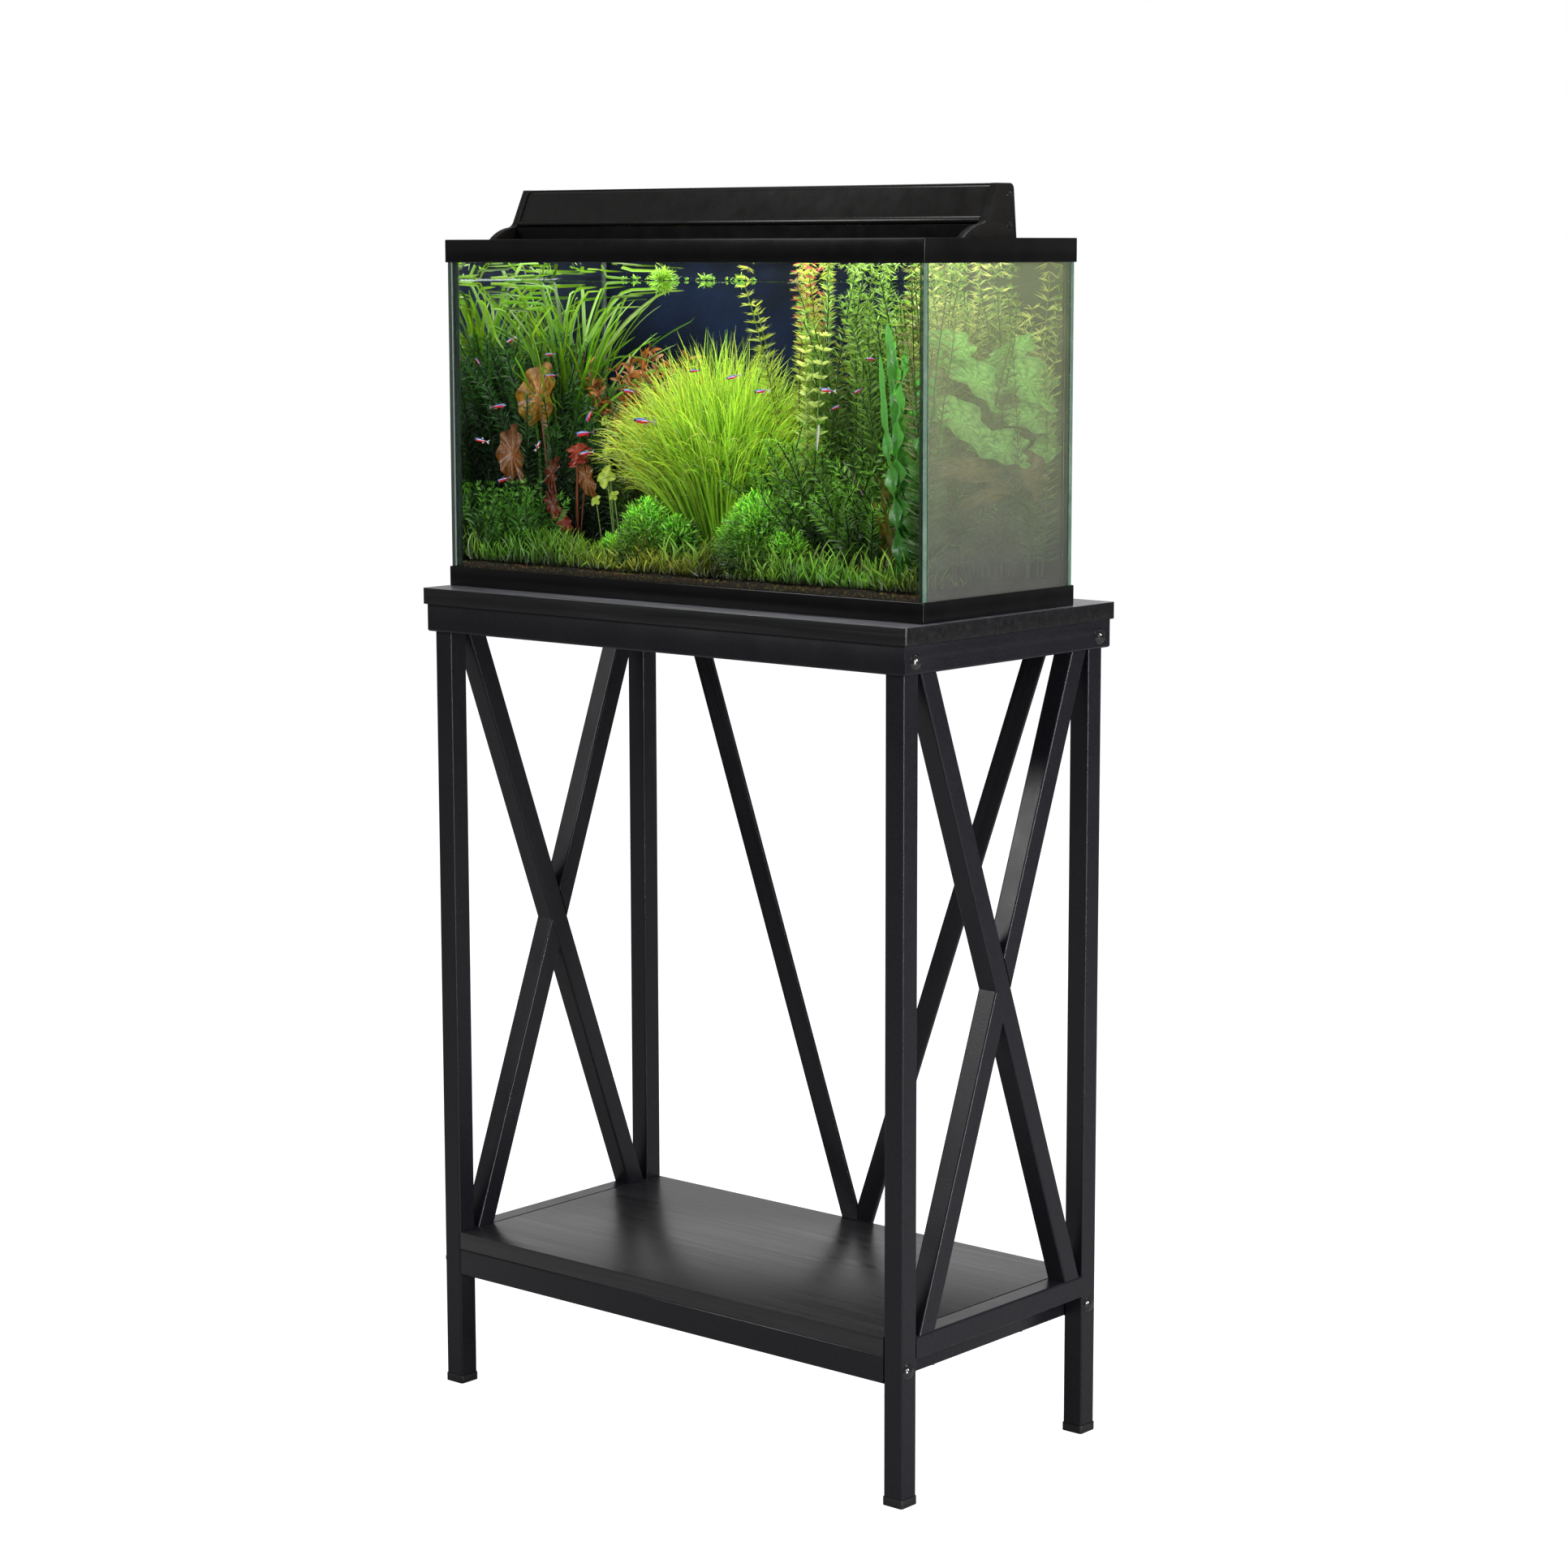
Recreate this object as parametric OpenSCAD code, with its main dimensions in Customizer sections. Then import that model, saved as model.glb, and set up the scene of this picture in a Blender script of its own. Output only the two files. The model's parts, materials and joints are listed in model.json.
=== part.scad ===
// Aquarium on a steel stand, with a light hood.
// Frame: +X to the right, +Y to the back, +Z up. Origin: centre of the footprint, on the floor.
// All sizes are in millimetres.

/* [Stand] */
// Width of the top board, left to right
board_w = 540; // [480:1:640]
// Depth of the top board, front to back
board_d = 280; // [250:1:340]
// Thickness of the top board
board_t = 14; // [12:1:20]
// Height of the top board's upper face above the floor
stand_h = 716; // [600:1:900]
// Side of the square tube that the frame is welded from
tube = 19; // [16:1:22]
// Wall thickness of the tube
tube_wall = 1.5; // [1:0.1:2]
// Height of the folded rim under the top board
apron_h = 24; // [22:1:32]
// Thickness of the rim's doubled web
apron_t = 4.5; // [3:0.1:6]
// How far the top board stands out past the rim
board_overhang = 3.2; // [0.5:0.1:5]
// Height of the shelf board's upper face above the floor
shelf_h = 140; // [110:1:260]
// Thickness of the shelf board
shelf_t = 15; // [12:1:18]
// Height of the tubes under the shelf board
shelf_rail_h = 24; // [20:1:30]
// Sideways run of an X brace for each millimetre of rise
brace_slope = 0.371; // [0.34:0.001:0.373]
// Width of the flat bars that make the V at the back
strap_w = 20; // [15:1:25]

/* [Tank] */
// Length of the tank, outside its frames
tank_w = 530; // [460:1:534]
// Depth of the tank, outside its frames
tank_d = 200; // [180:1:220]
// Height of the tank from the underside of the base frame to the top of the rim
tank_h = 300; // [260:1:360]
// Sideways place of the tank's centre on the board
tank_x = -3; // [-3:1:3]
// Front-to-back place of the tank's centre on the board
tank_y = -8; // [-20:1:20]
// Height of the base frame's band
base_frame_h = 17; // [14:1:24]
// Height of the top rim's band
rim_h = 19.5; // [16:0.5:26]
// Thickness of the glass panes
glass_t = 5; // [4:1:6]
// Height of the planted soil above the bottom pane
soil_h = 10; // [5:1:20]

/* [Hood] */
// Height of the lamp housing above the rim
hood_h = 43; // [40:1:55]
// Thickness of the housing's moulded end caps
cap_t = 7; // [5:1:10]
// Wall thickness of the hood's mouldings
wall = 2.5; // [2:0.1:3]
// Radius of the rolled lip along the flap's lower edge
lip_r = 3.4; // [3:0.1:4]

/* [Hidden] */
$fn = 32;

// Small overlap that keeps cutting tools clear of the faces that they cut
eps = 0.5;

// Stand
board_z = stand_h - board_t;
board_corner_r = 3;
apron_x = board_w / 2 - board_overhang;
apron_y = board_d / 2 - board_overhang;
apron_z = board_z - apron_h;
apron_flange_t = 2;
apron_flange_w = 26;
apron_edge_r = 1.8;
leg_x = apron_x - apron_t;
leg_y = apron_y - apron_t;
tube_r = 1.8;
leg_top_z = board_z - apron_flange_t;
cap_base = 2;
cap_h = 7;
cap_wall = 0.7;
cap_gap = 0.1;
rail_upper_z = leg_top_z - tube;
rail_lower_z = shelf_h - tube;
leg_in_x = leg_x - tube;
leg_in_y = leg_y - tube;
brace_angle = atan(brace_slope);
cross_z = 407;
shelf_gap = 0.5;
shelf_x = leg_in_x - shelf_gap;
shelf_z = shelf_h - shelf_t;
shelf_rail_z = shelf_z - shelf_rail_h;
shelf_rail_d = 15;
strap_t = 3;
strap_y = leg_y - strap_t;
shelf_back_y = strap_y;
strap_slope = 0.355;
strap_angle = atan(strap_slope);
strap_tip_z = 151;
strap_low_z = shelf_rail_z + 6;
strap_top_z = leg_top_z - 1;

// Fasteners
bolt_r = 3;
bolt_hole_r = 3.2;
bolt_head_r = 6.8;
bolt_head_h = 4;
nut_af = 10;
nut_h = 5;
nut_corner_r = nut_af / 2 / cos(30);
top_bolt_z = apron_z + apron_h * 0.42;
shelf_bolt_z = shelf_rail_z + shelf_rail_h / 2;
bolt_y = leg_y - tube / 2;
shelf_end_t = 2;
top_shank = apron_t + tube_wall + nut_h + 1;
shelf_shank = tube + shelf_gap + shelf_end_t + nut_h + 1;
screw_r = 1.9;
screw_hole_r = 1.95;
screw_head_r = 3.8;
screw_head_h = 2.2;
screw_bite = 9;
board_screw_x = [-200, 0, 200];
board_screw_y = apron_y - 16;
shelf_screw_x = shelf_x - shelf_rail_d / 2;
shelf_screw_y = [-60, 60];
strap_screw_r = 1.5;
strap_bite = 3;
strap_screw_x = 5;
strap_screw_z = [shelf_rail_z + 17, leg_top_z - 10];

// Distance of a strap's centre line from the middle of the stand, at a height
function strap_x(z) = strap_slope * (z - strap_tip_z) + strap_w / 2 / cos(strap_angle);

// Front-to-back place of a shelf bolt: side = -1 is the front rail, 1 the back rail
function shelf_bolt_y(side) = side < 0 ? -leg_y + shelf_rail_d / 2 : shelf_back_y - shelf_rail_d / 2;

// Tank
tank_z = stand_h;
tank_top = tank_z + tank_h;
frame_t = 1.5;
frame_ledge_t = 2;
frame_ledge_w = 14;
glass_w = tank_w - 2 * frame_t;
glass_d = tank_d - 2 * frame_t;
glass_z = tank_z + frame_ledge_t;
rim_flange_t = 2;
glass_top_z = tank_top - rim_flange_t;
rim_flange_w = 8;
rim_drop = 11;
rim_ledge_w = 7;
seam = 0.8;
side_pane_d = glass_d - 2 * glass_t - 2 * seam;
bottom_pane_z = tank_z + 7;
bottom_pane_t = 6;
inner_w = glass_w - 2 * glass_t;
inner_d = glass_d - 2 * glass_t;
soil_z = bottom_pane_z + bottom_pane_t;
soil_top = soil_z + soil_h;
seam_fillet = 3;
sheet_t = 0.5;
rim_bottom_z = tank_top - rim_h;
base_frame_top = tank_z + base_frame_h;

// Hood: its profile is drawn in the plane (y, z), from the tank's centre line and the rim's top
hood_half = tank_w / 2 - 2;
cover_half = hood_half - cap_t;
foot_y = -48;
waist_y = -20;
waist_z = 11;
crown_y = -4.5;
back_y = 16.8;
heel_y = 20.5;
crown_r = 5;
deck_clear = 1;
deck_w = tank_w - 2 * (rim_flange_w + frame_t + deck_clear);
deck_d = tank_d - 2 * (rim_flange_w + frame_t + deck_clear);
deck_t = 2.5;
deck_skirt = 2;
deck_slot_x = 168;
deck_slot_y = [-16, 14];
upstand_y = -21.5;
upstand_t = 2;
upstand_h = 10.6;
pivot_r = 3;
slope_len = norm([crown_y - waist_y, hood_h - waist_z]);
slope_u = [waist_y - crown_y, waist_z - hood_h] / slope_len;
slope_v = [slope_u[1], -slope_u[0]];
pivot_y = crown_y + 3.6 * slope_u[0] - (pivot_r + 0.6) * slope_v[0];
pivot_z = hood_h + 3.6 * slope_u[1] - (pivot_r + 0.6) * slope_v[1];
slope_angle = atan2(slope_u[0], -slope_u[1]);
flap_len = slope_len - 4.5;
flap_gap = 0.6;
pin_r = 1.5;
pin_bore_r = 1.55;
pin_len = 14;
lamp_half = 236;
lamp_y = [0.6, 11.6];
lamp_top = hood_h - wall;
lamp_low = lamp_top - 12;
sheet = 0.8;
led_pitch = 20;
switch_x = -205;
switch_z = 18;
switch_h = 21;
switch_w = 15;
rocker_tilt = 9;
rocker_pin_r = 1;
rocker_bore_r = 1.06;
inlet_x = 205;
inlet_z = 19;
inlet_bore_r = 2.8;

steel = "#24252b";
board_black = "#2b2a2c";
rim_black = "#0c0c0d";
plastic = "#17181a";
zinc = "#b9bcc2";
glass = [0.62, 0.82, 0.76, 0.35];

// A square with true round corners, centred
module round_square(w, d, r) {
    square([w, d - 2 * r], center = true);
    square([w - 2 * r, d], center = true);
    for (sx = [-1, 1], sy = [-1, 1])
        translate([sx * (w / 2 - r), sy * (d / 2 - r)])
            circle(r);
}

// The cross-section of a thin-walled tube
module tube_section(w, d) {
    difference() {
        round_square(w, d, tube_r);
        square([w - 2 * tube_wall, d - 2 * tube_wall], center = true);
    }
}

// A cylinder along +X from the origin
module rod_x(r, h) {
    rotate([0, 90, 0])
        cylinder(r = r, h = h);
}

// A ring of rectangular section round a rectangle
module frame_ring(w, d, ring, z0, z1) {
    translate([0, 0, z0])
        difference() {
            translate([-w / 2, -d / 2, 0])
                cube([w, d, z1 - z0]);
            translate([-w / 2 + ring, -d / 2 + ring, -eps])
                cube([w - 2 * ring, d - 2 * ring, z1 - z0 + 2 * eps]);
        }
}

module at_tank() {
    translate([tank_x, tank_y, 0])
        children();
}

module at_rim() {
    translate([tank_x, tank_y, tank_top])
        children();
}

// Extrudes a (y, z) outline along X from x0 to x1
module along_x(x0, x1) {
    translate([x0, 0, 0])
        rotate([90, 0, 90])
            linear_extrude(x1 - x0)
                children();
}

// ---- Stand ----

module board_screw_places() {
    for (x = board_screw_x, s = [-1, 1])
        translate([x, s * board_screw_y, board_z - apron_flange_t])
            children();
}

module shelf_screw_places() {
    for (s = [-1, 1], y = shelf_screw_y)
        translate([s * shelf_screw_x, y, shelf_rail_z])
            children();
}

module top_board() {
    color(board_black)
        difference() {
            translate([0, 0, board_z])
                linear_extrude(board_t)
                    round_square(board_w, board_d, board_corner_r);
            board_screw_places()
                cylinder(r = screw_hole_r, h = apron_flange_t + screw_bite + 0.5);
        }
}

// The rim's L section: a doubled web with a rounded lower edge, and a flange under the board
module apron_section() {
    translate([0, apron_edge_r])
        square([apron_t, apron_h - apron_edge_r]);
    translate([apron_edge_r, 0])
        square([apron_t - 2 * apron_edge_r, apron_edge_r + eps]);
    for (x = [apron_edge_r, apron_t - apron_edge_r])
        translate([x, apron_edge_r])
            circle(apron_edge_r);
    translate([0, apron_h - apron_flange_t])
        square([apron_flange_w, apron_flange_t]);
}

// One member of the rim, with its outer face on x = 0 and mitred at both ends
module apron_member(len) {
    difference() {
        translate([0, len / 2, 0])
            rotate([90, 0, 0])
                linear_extrude(len)
                    apron_section();
        for (s = [-1, 1])
            translate([0, s * len / 2, -eps])
                rotate([0, 0, -s * 45])
                    translate([-len / 2, s > 0 ? 0 : -len / 2, 0])
                        cube([len, len / 2, apron_h + 2 * eps]);
    }
}

module apron_side(s) {
    color(steel)
        difference() {
            translate([s * apron_x, 0, apron_z])
                rotate([0, 0, s > 0 ? 180 : 0])
                    apron_member(2 * apron_y);
            for (t = [-1, 1])
                translate([s * apron_x - 10, t * bolt_y, top_bolt_z])
                    rod_x(bolt_hole_r, 20);
        }
}

module apron_long(s) {
    color(steel)
        difference() {
            translate([0, s * apron_y, apron_z])
                rotate([0, 0, s > 0 ? -90 : 90])
                    apron_member(2 * apron_x);
            board_screw_places()
                translate([0, 0, -eps])
                    cylinder(r = screw_hole_r, h = apron_flange_t + 2 * eps);
            if (s > 0)
                for (t = [-1, 1])
                    strap_top_screw_place(t)
                        rotate([-90, 0, 0])
                            cylinder(r = strap_screw_r + 0.1, h = strap_t + strap_bite + 0.5);
        }
}

module apron_front() {
    apron_long(-1);
}

module apron_back() {
    apron_long(1);
}

module apron_left() {
    apron_side(-1);
}

module apron_right() {
    apron_side(1);
}

// A leg is a square tube from its foot cap up to the rim's flange
module leg(sx, sy) {
    color(steel)
        difference() {
            translate([sx * (leg_x - tube / 2), sy * (leg_y - tube / 2), cap_base])
                linear_extrude(leg_top_z - cap_base)
                    tube_section(tube, tube);
            translate([sx > 0 ? leg_x - 4 : -leg_x - 4, sy * bolt_y, top_bolt_z])
                rod_x(bolt_hole_r, 8);
            translate([sx > 0 ? leg_in_x - 4 : -leg_x - 4, shelf_bolt_y(sy), shelf_bolt_z])
                rod_x(bolt_hole_r, tube + 8);
        }
}

module leg_front_left() {
    leg(-1, -1);
}

module leg_front_right() {
    leg(1, -1);
}

module leg_back_left() {
    leg(-1, 1);
}

module leg_back_right() {
    leg(1, 1);
}

// A side rail runs from the front leg to the back leg
module side_rail(s, z) {
    color(steel)
        translate([s * (leg_x - tube / 2), leg_in_y, z + tube / 2])
            rotate([90, 0, 0])
                linear_extrude(2 * leg_in_y)
                    tube_section(tube, tube);
}

module upper_rail_left() {
    side_rail(-1, rail_upper_z);
}

module upper_rail_right() {
    side_rail(1, rail_upper_z);
}

module lower_rail_left() {
    side_rail(-1, rail_lower_z);
}

module lower_rail_right() {
    side_rail(1, rail_lower_z);
}

// A long tube through the crossing of the X: lean = 1 leans its top to the back
module brace_blank(s, lean, solid = false) {
    translate([s * (leg_x - tube / 2), 0, cross_z])
        rotate([-lean * brace_angle, 0, 0])
            translate([0, 0, -stand_h / 2])
                linear_extrude(stand_h)
                    if (solid)
                        square([2 * tube, tube], center = true);
                    else
                        tube_section(tube, tube);
}

// Keeps what lies between two heights
module between(z0, z1) {
    intersection() {
        children();
        translate([-board_w, -leg_in_y, z0])
            cube([2 * board_w, 2 * leg_in_y, z1 - z0]);
    }
}

module brace_through(s) {
    color(steel)
        between(shelf_h, rail_upper_z)
            brace_blank(s, -1);
}

module brace_half(s, z0, z1) {
    color(steel)
        difference() {
            between(z0, z1)
                brace_blank(s, 1);
            brace_blank(s, -1, solid = true);
        }
}

module brace_left_through() {
    brace_through(-1);
}

module brace_left_upper() {
    brace_half(-1, cross_z, rail_upper_z);
}

module brace_left_lower() {
    brace_half(-1, shelf_h, cross_z);
}

module brace_right_through() {
    brace_through(1);
}

module brace_right_upper() {
    brace_half(1, cross_z, rail_upper_z);
}

module brace_right_lower() {
    brace_half(1, shelf_h, cross_z);
}

module strap_low_screw_place(s) {
    translate([s * strap_screw_x, strap_y, strap_screw_z[0]])
        children();
}

module strap_top_screw_place(s) {
    translate([s * strap_x(strap_screw_z[1]), strap_y, strap_screw_z[1]])
        children();
}

module strap_screw_hole() {
    translate([0, -eps, 0])
        rotate([-90, 0, 0])
            cylinder(r = strap_screw_r + 0.1, h = strap_t + 2 * eps);
}

module back_strap(s) {
    color(steel)
        difference() {
            intersection() {
                translate([s * strap_x(cross_z), strap_y, cross_z])
                    rotate([0, s * strap_angle, 0])
                        translate([-strap_w / 2, 0, -stand_h / 2])
                            cube([strap_w, strap_t, stand_h]);
                translate([s > 0 ? 0 : -board_w, 0, strap_low_z])
                    cube([board_w, board_d, strap_top_z - strap_low_z]);
            }
            strap_low_screw_place(s)
                strap_screw_hole();
            strap_top_screw_place(s)
                strap_screw_hole();
        }
}

module back_strap_left() {
    back_strap(-1);
}

module back_strap_right() {
    back_strap(1);
}

module shelf_board() {
    color(board_black)
        difference() {
            translate([-shelf_x, -leg_y, shelf_z])
                cube([2 * shelf_x, leg_y + shelf_back_y, shelf_t]);
            for (s = [-1, 1])
                translate([s * shelf_screw_x, 0, shelf_z])
                    for (y = shelf_screw_y)
                        translate([0, y, -eps])
                            cylinder(r = screw_hole_r, h = screw_bite + 0.5 + eps);
        }
}

// A tube under the front or back edge of the shelf, with an end plate for each leg bolt
module shelf_rail_long(y0) {
    inner_h = shelf_rail_h - 2 * tube_wall;
    inner_d = shelf_rail_d - 2 * tube_wall;
    color(steel)
        difference() {
            along_x(-shelf_x, shelf_x)
                translate([y0 + shelf_rail_d / 2, shelf_rail_z + shelf_rail_h / 2])
                    round_square(shelf_rail_d, shelf_rail_h, tube_r);
            translate([-shelf_x + shelf_end_t, y0 + tube_wall, shelf_rail_z + tube_wall])
                cube([2 * (shelf_x - shelf_end_t), inner_d, inner_h]);
            translate([-shelf_x - eps, y0 + shelf_rail_d / 2, shelf_bolt_z])
                rod_x(bolt_hole_r, shelf_end_t + 2 * eps);
            translate([shelf_x - shelf_end_t - eps, y0 + shelf_rail_d / 2, shelf_bolt_z])
                rod_x(bolt_hole_r, shelf_end_t + 2 * eps);
            if (y0 > 0)
                for (s = [-1, 1])
                    strap_low_screw_place(s)
                        rotate([90, 0, 0])
                            cylinder(r = strap_screw_r + 0.1, h = 3 * tube_wall, center = true);
        }
}

module shelf_rail_front() {
    shelf_rail_long(-leg_y);
}

module shelf_rail_back() {
    shelf_rail_long(shelf_back_y - shelf_rail_d);
}

module shelf_rail_side(s) {
    y0 = -leg_y + shelf_rail_d;
    y1 = shelf_back_y - shelf_rail_d;
    color(steel)
        difference() {
            translate([s * (shelf_x - shelf_rail_d / 2), y1, shelf_rail_z + shelf_rail_h / 2])
                rotate([90, 0, 0])
                    linear_extrude(y1 - y0)
                        tube_section(shelf_rail_d, shelf_rail_h);
            shelf_screw_places()
                translate([0, 0, -eps])
                    cylinder(r = screw_hole_r, h = shelf_rail_h + 2 * eps);
        }
}

module shelf_rail_left() {
    shelf_rail_side(-1);
}

module shelf_rail_right() {
    shelf_rail_side(1);
}

// Plastic caps pushed over the lower ends of the legs
module foot_caps() {
    outer = tube + 2 * (cap_wall + cap_gap);
    color(rim_black)
        for (sx = [-1, 1], sy = [-1, 1])
            translate([sx * (leg_x - tube / 2), sy * (leg_y - tube / 2), 0])
                difference() {
                    linear_extrude(cap_h)
                        round_square(outer, outer, tube_r + cap_wall);
                    translate([0, 0, cap_base])
                        linear_extrude(cap_h)
                            round_square(tube + 2 * cap_gap, tube + 2 * cap_gap, tube_r);
                }
}

// A domed bolt with its shank along -X and its head's seat on x = 0
module domed_bolt(shank) {
    dome_r = (bolt_head_r * bolt_head_r + bolt_head_h * bolt_head_h) / (2 * bolt_head_h);
    dome_angle = asin(bolt_head_r / dome_r);
    rotate([0, 90, 0])
        rotate_extrude($fn = 48)
            polygon(concat(
                [[0, -shank], [bolt_r, -shank], [bolt_r, 0]],
                [for (i = [8 : -1 : 0]) [
                    dome_r * sin(dome_angle * i / 8),
                    bolt_head_h - dome_r + dome_r * cos(dome_angle * i / 8)
                ]]
            ));
}

module top_bolts() {
    color("#101012")
        for (s = [-1, 1], t = [-1, 1])
            translate([s * apron_x, t * bolt_y, top_bolt_z])
                rotate([0, 0, s > 0 ? 0 : 180])
                    domed_bolt(top_shank);
}

module shelf_bolts() {
    color("#101012")
        for (s = [-1, 1], t = [-1, 1])
            translate([s * leg_x, shelf_bolt_y(t), shelf_bolt_z])
                rotate([0, 0, s > 0 ? 0 : 180])
                    domed_bolt(shelf_shank);
}

// A hexagon nut from x = 0 to x = nut_h
module nut() {
    difference() {
        rod_x(nut_corner_r, nut_h, $fn = 6);
        translate([-eps, 0, 0])
            rod_x(bolt_r + 0.05, nut_h + 2 * eps);
    }
}

module frame_nuts() {
    top_nut_x = leg_x - tube_wall - nut_h;
    shelf_nut_x = shelf_x - shelf_end_t - nut_h;
    color(zinc)
        for (s = [-1, 1], t = [-1, 1]) {
            translate([s > 0 ? top_nut_x : -top_nut_x - nut_h, t * bolt_y, top_bolt_z])
                nut();
            translate([s > 0 ? shelf_nut_x : -shelf_nut_x - nut_h, shelf_bolt_y(t), shelf_bolt_z])
                nut();
        }
}

// A pan-head screw pointing up, with its head's seat on z = 0
module pan_screw(r, len, head_r, head_h) {
    cylinder(r = r, h = len);
    translate([0, 0, -head_h])
        cylinder(r1 = head_r * 0.8, r2 = head_r, h = head_h);
}

module wood_screws() {
    color(zinc) {
        board_screw_places()
            pan_screw(screw_r, apron_flange_t + screw_bite, screw_head_r, screw_head_h);
        shelf_screw_places()
            pan_screw(screw_r, shelf_rail_h + screw_bite, screw_head_r, screw_head_h);
    }
}

module strap_screws() {
    color("#101012")
        for (s = [-1, 1]) {
            strap_low_screw_place(s)
                translate([0, strap_t, 0])
                    rotate([90, 0, 0])
                        pan_screw(strap_screw_r, strap_t + tube_wall, 2.8, 1.6);
            strap_top_screw_place(s)
                rotate([-90, 0, 0])
                    pan_screw(strap_screw_r, strap_t + strap_bite, 2.8, 1.6);
        }
}

// ---- Tank ----

module tank_base_frame() {
    color(rim_black)
        at_tank() {
            frame_ring(tank_w, tank_d, frame_t, tank_z, base_frame_top);
            frame_ring(tank_w, tank_d, frame_ledge_w, tank_z, tank_z + frame_ledge_t);
        }
}

module tank_top_rim() {
    drop_w = tank_w - 2 * rim_flange_w;
    drop_d = tank_d - 2 * rim_flange_w;
    color(rim_black)
        at_tank() {
            frame_ring(tank_w, tank_d, frame_t, rim_bottom_z, tank_top);
            frame_ring(tank_w, tank_d, rim_flange_w + frame_t, tank_top - rim_flange_t, tank_top);
            frame_ring(drop_w, drop_d, frame_t, tank_top - rim_drop, tank_top);
            frame_ring(drop_w, drop_d, rim_ledge_w, tank_top - rim_drop, tank_top - rim_drop + 2);
        }
}

// A pane across the tank: s = -1 is the front, s = 1 the back
module pane_long(s) {
    color(glass)
        at_tank()
            translate([-glass_w / 2, s > 0 ? glass_d / 2 - glass_t : -glass_d / 2, glass_z])
                cube([glass_w, glass_t, glass_top_z - glass_z]);
}

module pane_side(s) {
    color(glass)
        at_tank()
            translate([s > 0 ? glass_w / 2 - glass_t : -glass_w / 2, -side_pane_d / 2, glass_z])
                cube([glass_t, side_pane_d, glass_top_z - glass_z]);
}

module glass_front() {
    pane_long(-1);
}

module glass_back() {
    pane_long(1);
}

module glass_left() {
    pane_side(-1);
}

module glass_right() {
    pane_side(1);
}

module glass_bottom() {
    w = inner_w - 2 * seam;
    d = inner_d - 2 * seam;
    color(glass)
        at_tank()
            translate([-w / 2, -d / 2, bottom_pane_z])
                cube([w, d, bottom_pane_t]);
}

// Silicone: a strip between the panes at each corner, with a fillet inside, and a bead round the bottom pane
module silicone_seams() {
    color("#1a1c1c")
        at_tank() {
            for (sx = [-1, 1], sy = [-1, 1])
                scale([sx, sy, 1]) {
                    translate([glass_w / 2 - glass_t, side_pane_d / 2, glass_z])
                        cube([glass_t, seam, glass_top_z - glass_z]);
                    translate([inner_w / 2, inner_d / 2 - seam, soil_z])
                        linear_extrude(tank_top - rim_drop - soil_z)
                            polygon([[0, 0], [0, -seam_fillet], [-seam_fillet, seam], [0, seam]]);
                }
            frame_ring(inner_w, inner_d, seam, bottom_pane_z, soil_z);
        }
}

// A dark film on the outside of the back pane, inside the frames
module background_sheet() {
    w = glass_w - 2;
    color("#0b1020")
        at_tank()
            translate([-w / 2, glass_d / 2, base_frame_top])
                cube([w, sheet_t, rim_bottom_z - base_frame_top]);
}

module soil_bed() {
    w = inner_w;
    d = inner_d;
    c = seam_fillet + 1.5;
    color("#3a2a18")
        at_tank()
            translate([0, 0, soil_z])
                linear_extrude(soil_h)
                    difference() {
                        square([w, d], center = true);
                        for (sx = [-1, 1], sy = [-1, 1])
                            translate([sx * w / 2, sy * d / 2])
                                rotate([0, 0, 45])
                                    square(c * sqrt(2), center = true);
                    }
}

// A clump of planting: a solid of revolution that widens from its roots and rounds off at its top
module clump(x, y, r, h) {
    translate([x, y, soil_top])
        rotate_extrude($fn = 40)
            polygon(concat(
                [[0, 0], [r * 0.7, 0]],
                [for (i = [0 : 6]) [
                    r * (i < 6 ? 1 : 0.8) * (0.86 + 0.14 * sin(i * 30)),
                    h * (0.12 + 0.11 * i)
                ]],
                [[r * 0.45, h * 0.95], [0, h]]
            ));
}

module plants_left() {
    color("#3f7a1c")
        at_tank() {
            clump(-220, 48, 34, 214);
            clump(-214, -20, 34, 200);
        }
}

module plants_center() {
    color("#7dbb2a")
        at_tank() {
            clump(-40, 16, 58, 196);
            clump(-138, 30, 32, 165);
        }
}

module plants_right() {
    color("#4f8a2a")
        at_tank() {
            clump(60, 48, 34, 214);
            clump(140, 48, 36, 214);
            clump(214, 44, 36, 212);
            clump(214, -36, 34, 150);
            clump(126, -24, 30, 110);
        }
}

module plants_front() {
    color("#5fae22")
        at_tank() {
            clump(-120, -52, 28, 40);
            clump(-66, -64, 20, 40);
            clump(59, -60, 26, 46);
            clump(150, -70, 16, 36);
        }
}

// ---- Hood ----

// A point of the quadratic curve from a through the control point b to c
function bend(a, b, c, t) = (1 - t) * (1 - t) * a + 2 * t * (1 - t) * b + t * t * c;

// The outline of an end cap: a humped foot, a steep front, a flat top and a leaning back
module cap_outline() {
    foot = [foot_y, 0];
    hump = [foot_y + 10, waist_z - 2];
    waist = [waist_y - 3, waist_z];
    polygon(concat(
        [for (i = [0 : 7]) bend(foot, hump, waist, i / 8)],
        [for (i = [0 : 4]) bend(waist, [waist_y, waist_z + 1], [waist_y + 2, waist_z + 4.2], i / 4)],
        [[crown_y, hood_h], [back_y - crown_r, hood_h]],
        [for (i = [1 : 7]) [
            back_y - crown_r + crown_r * sin(i * 12),
            hood_h - crown_r + crown_r * cos(i * 12)
        ]],
        [[heel_y, 0]]
    ));
}

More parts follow.
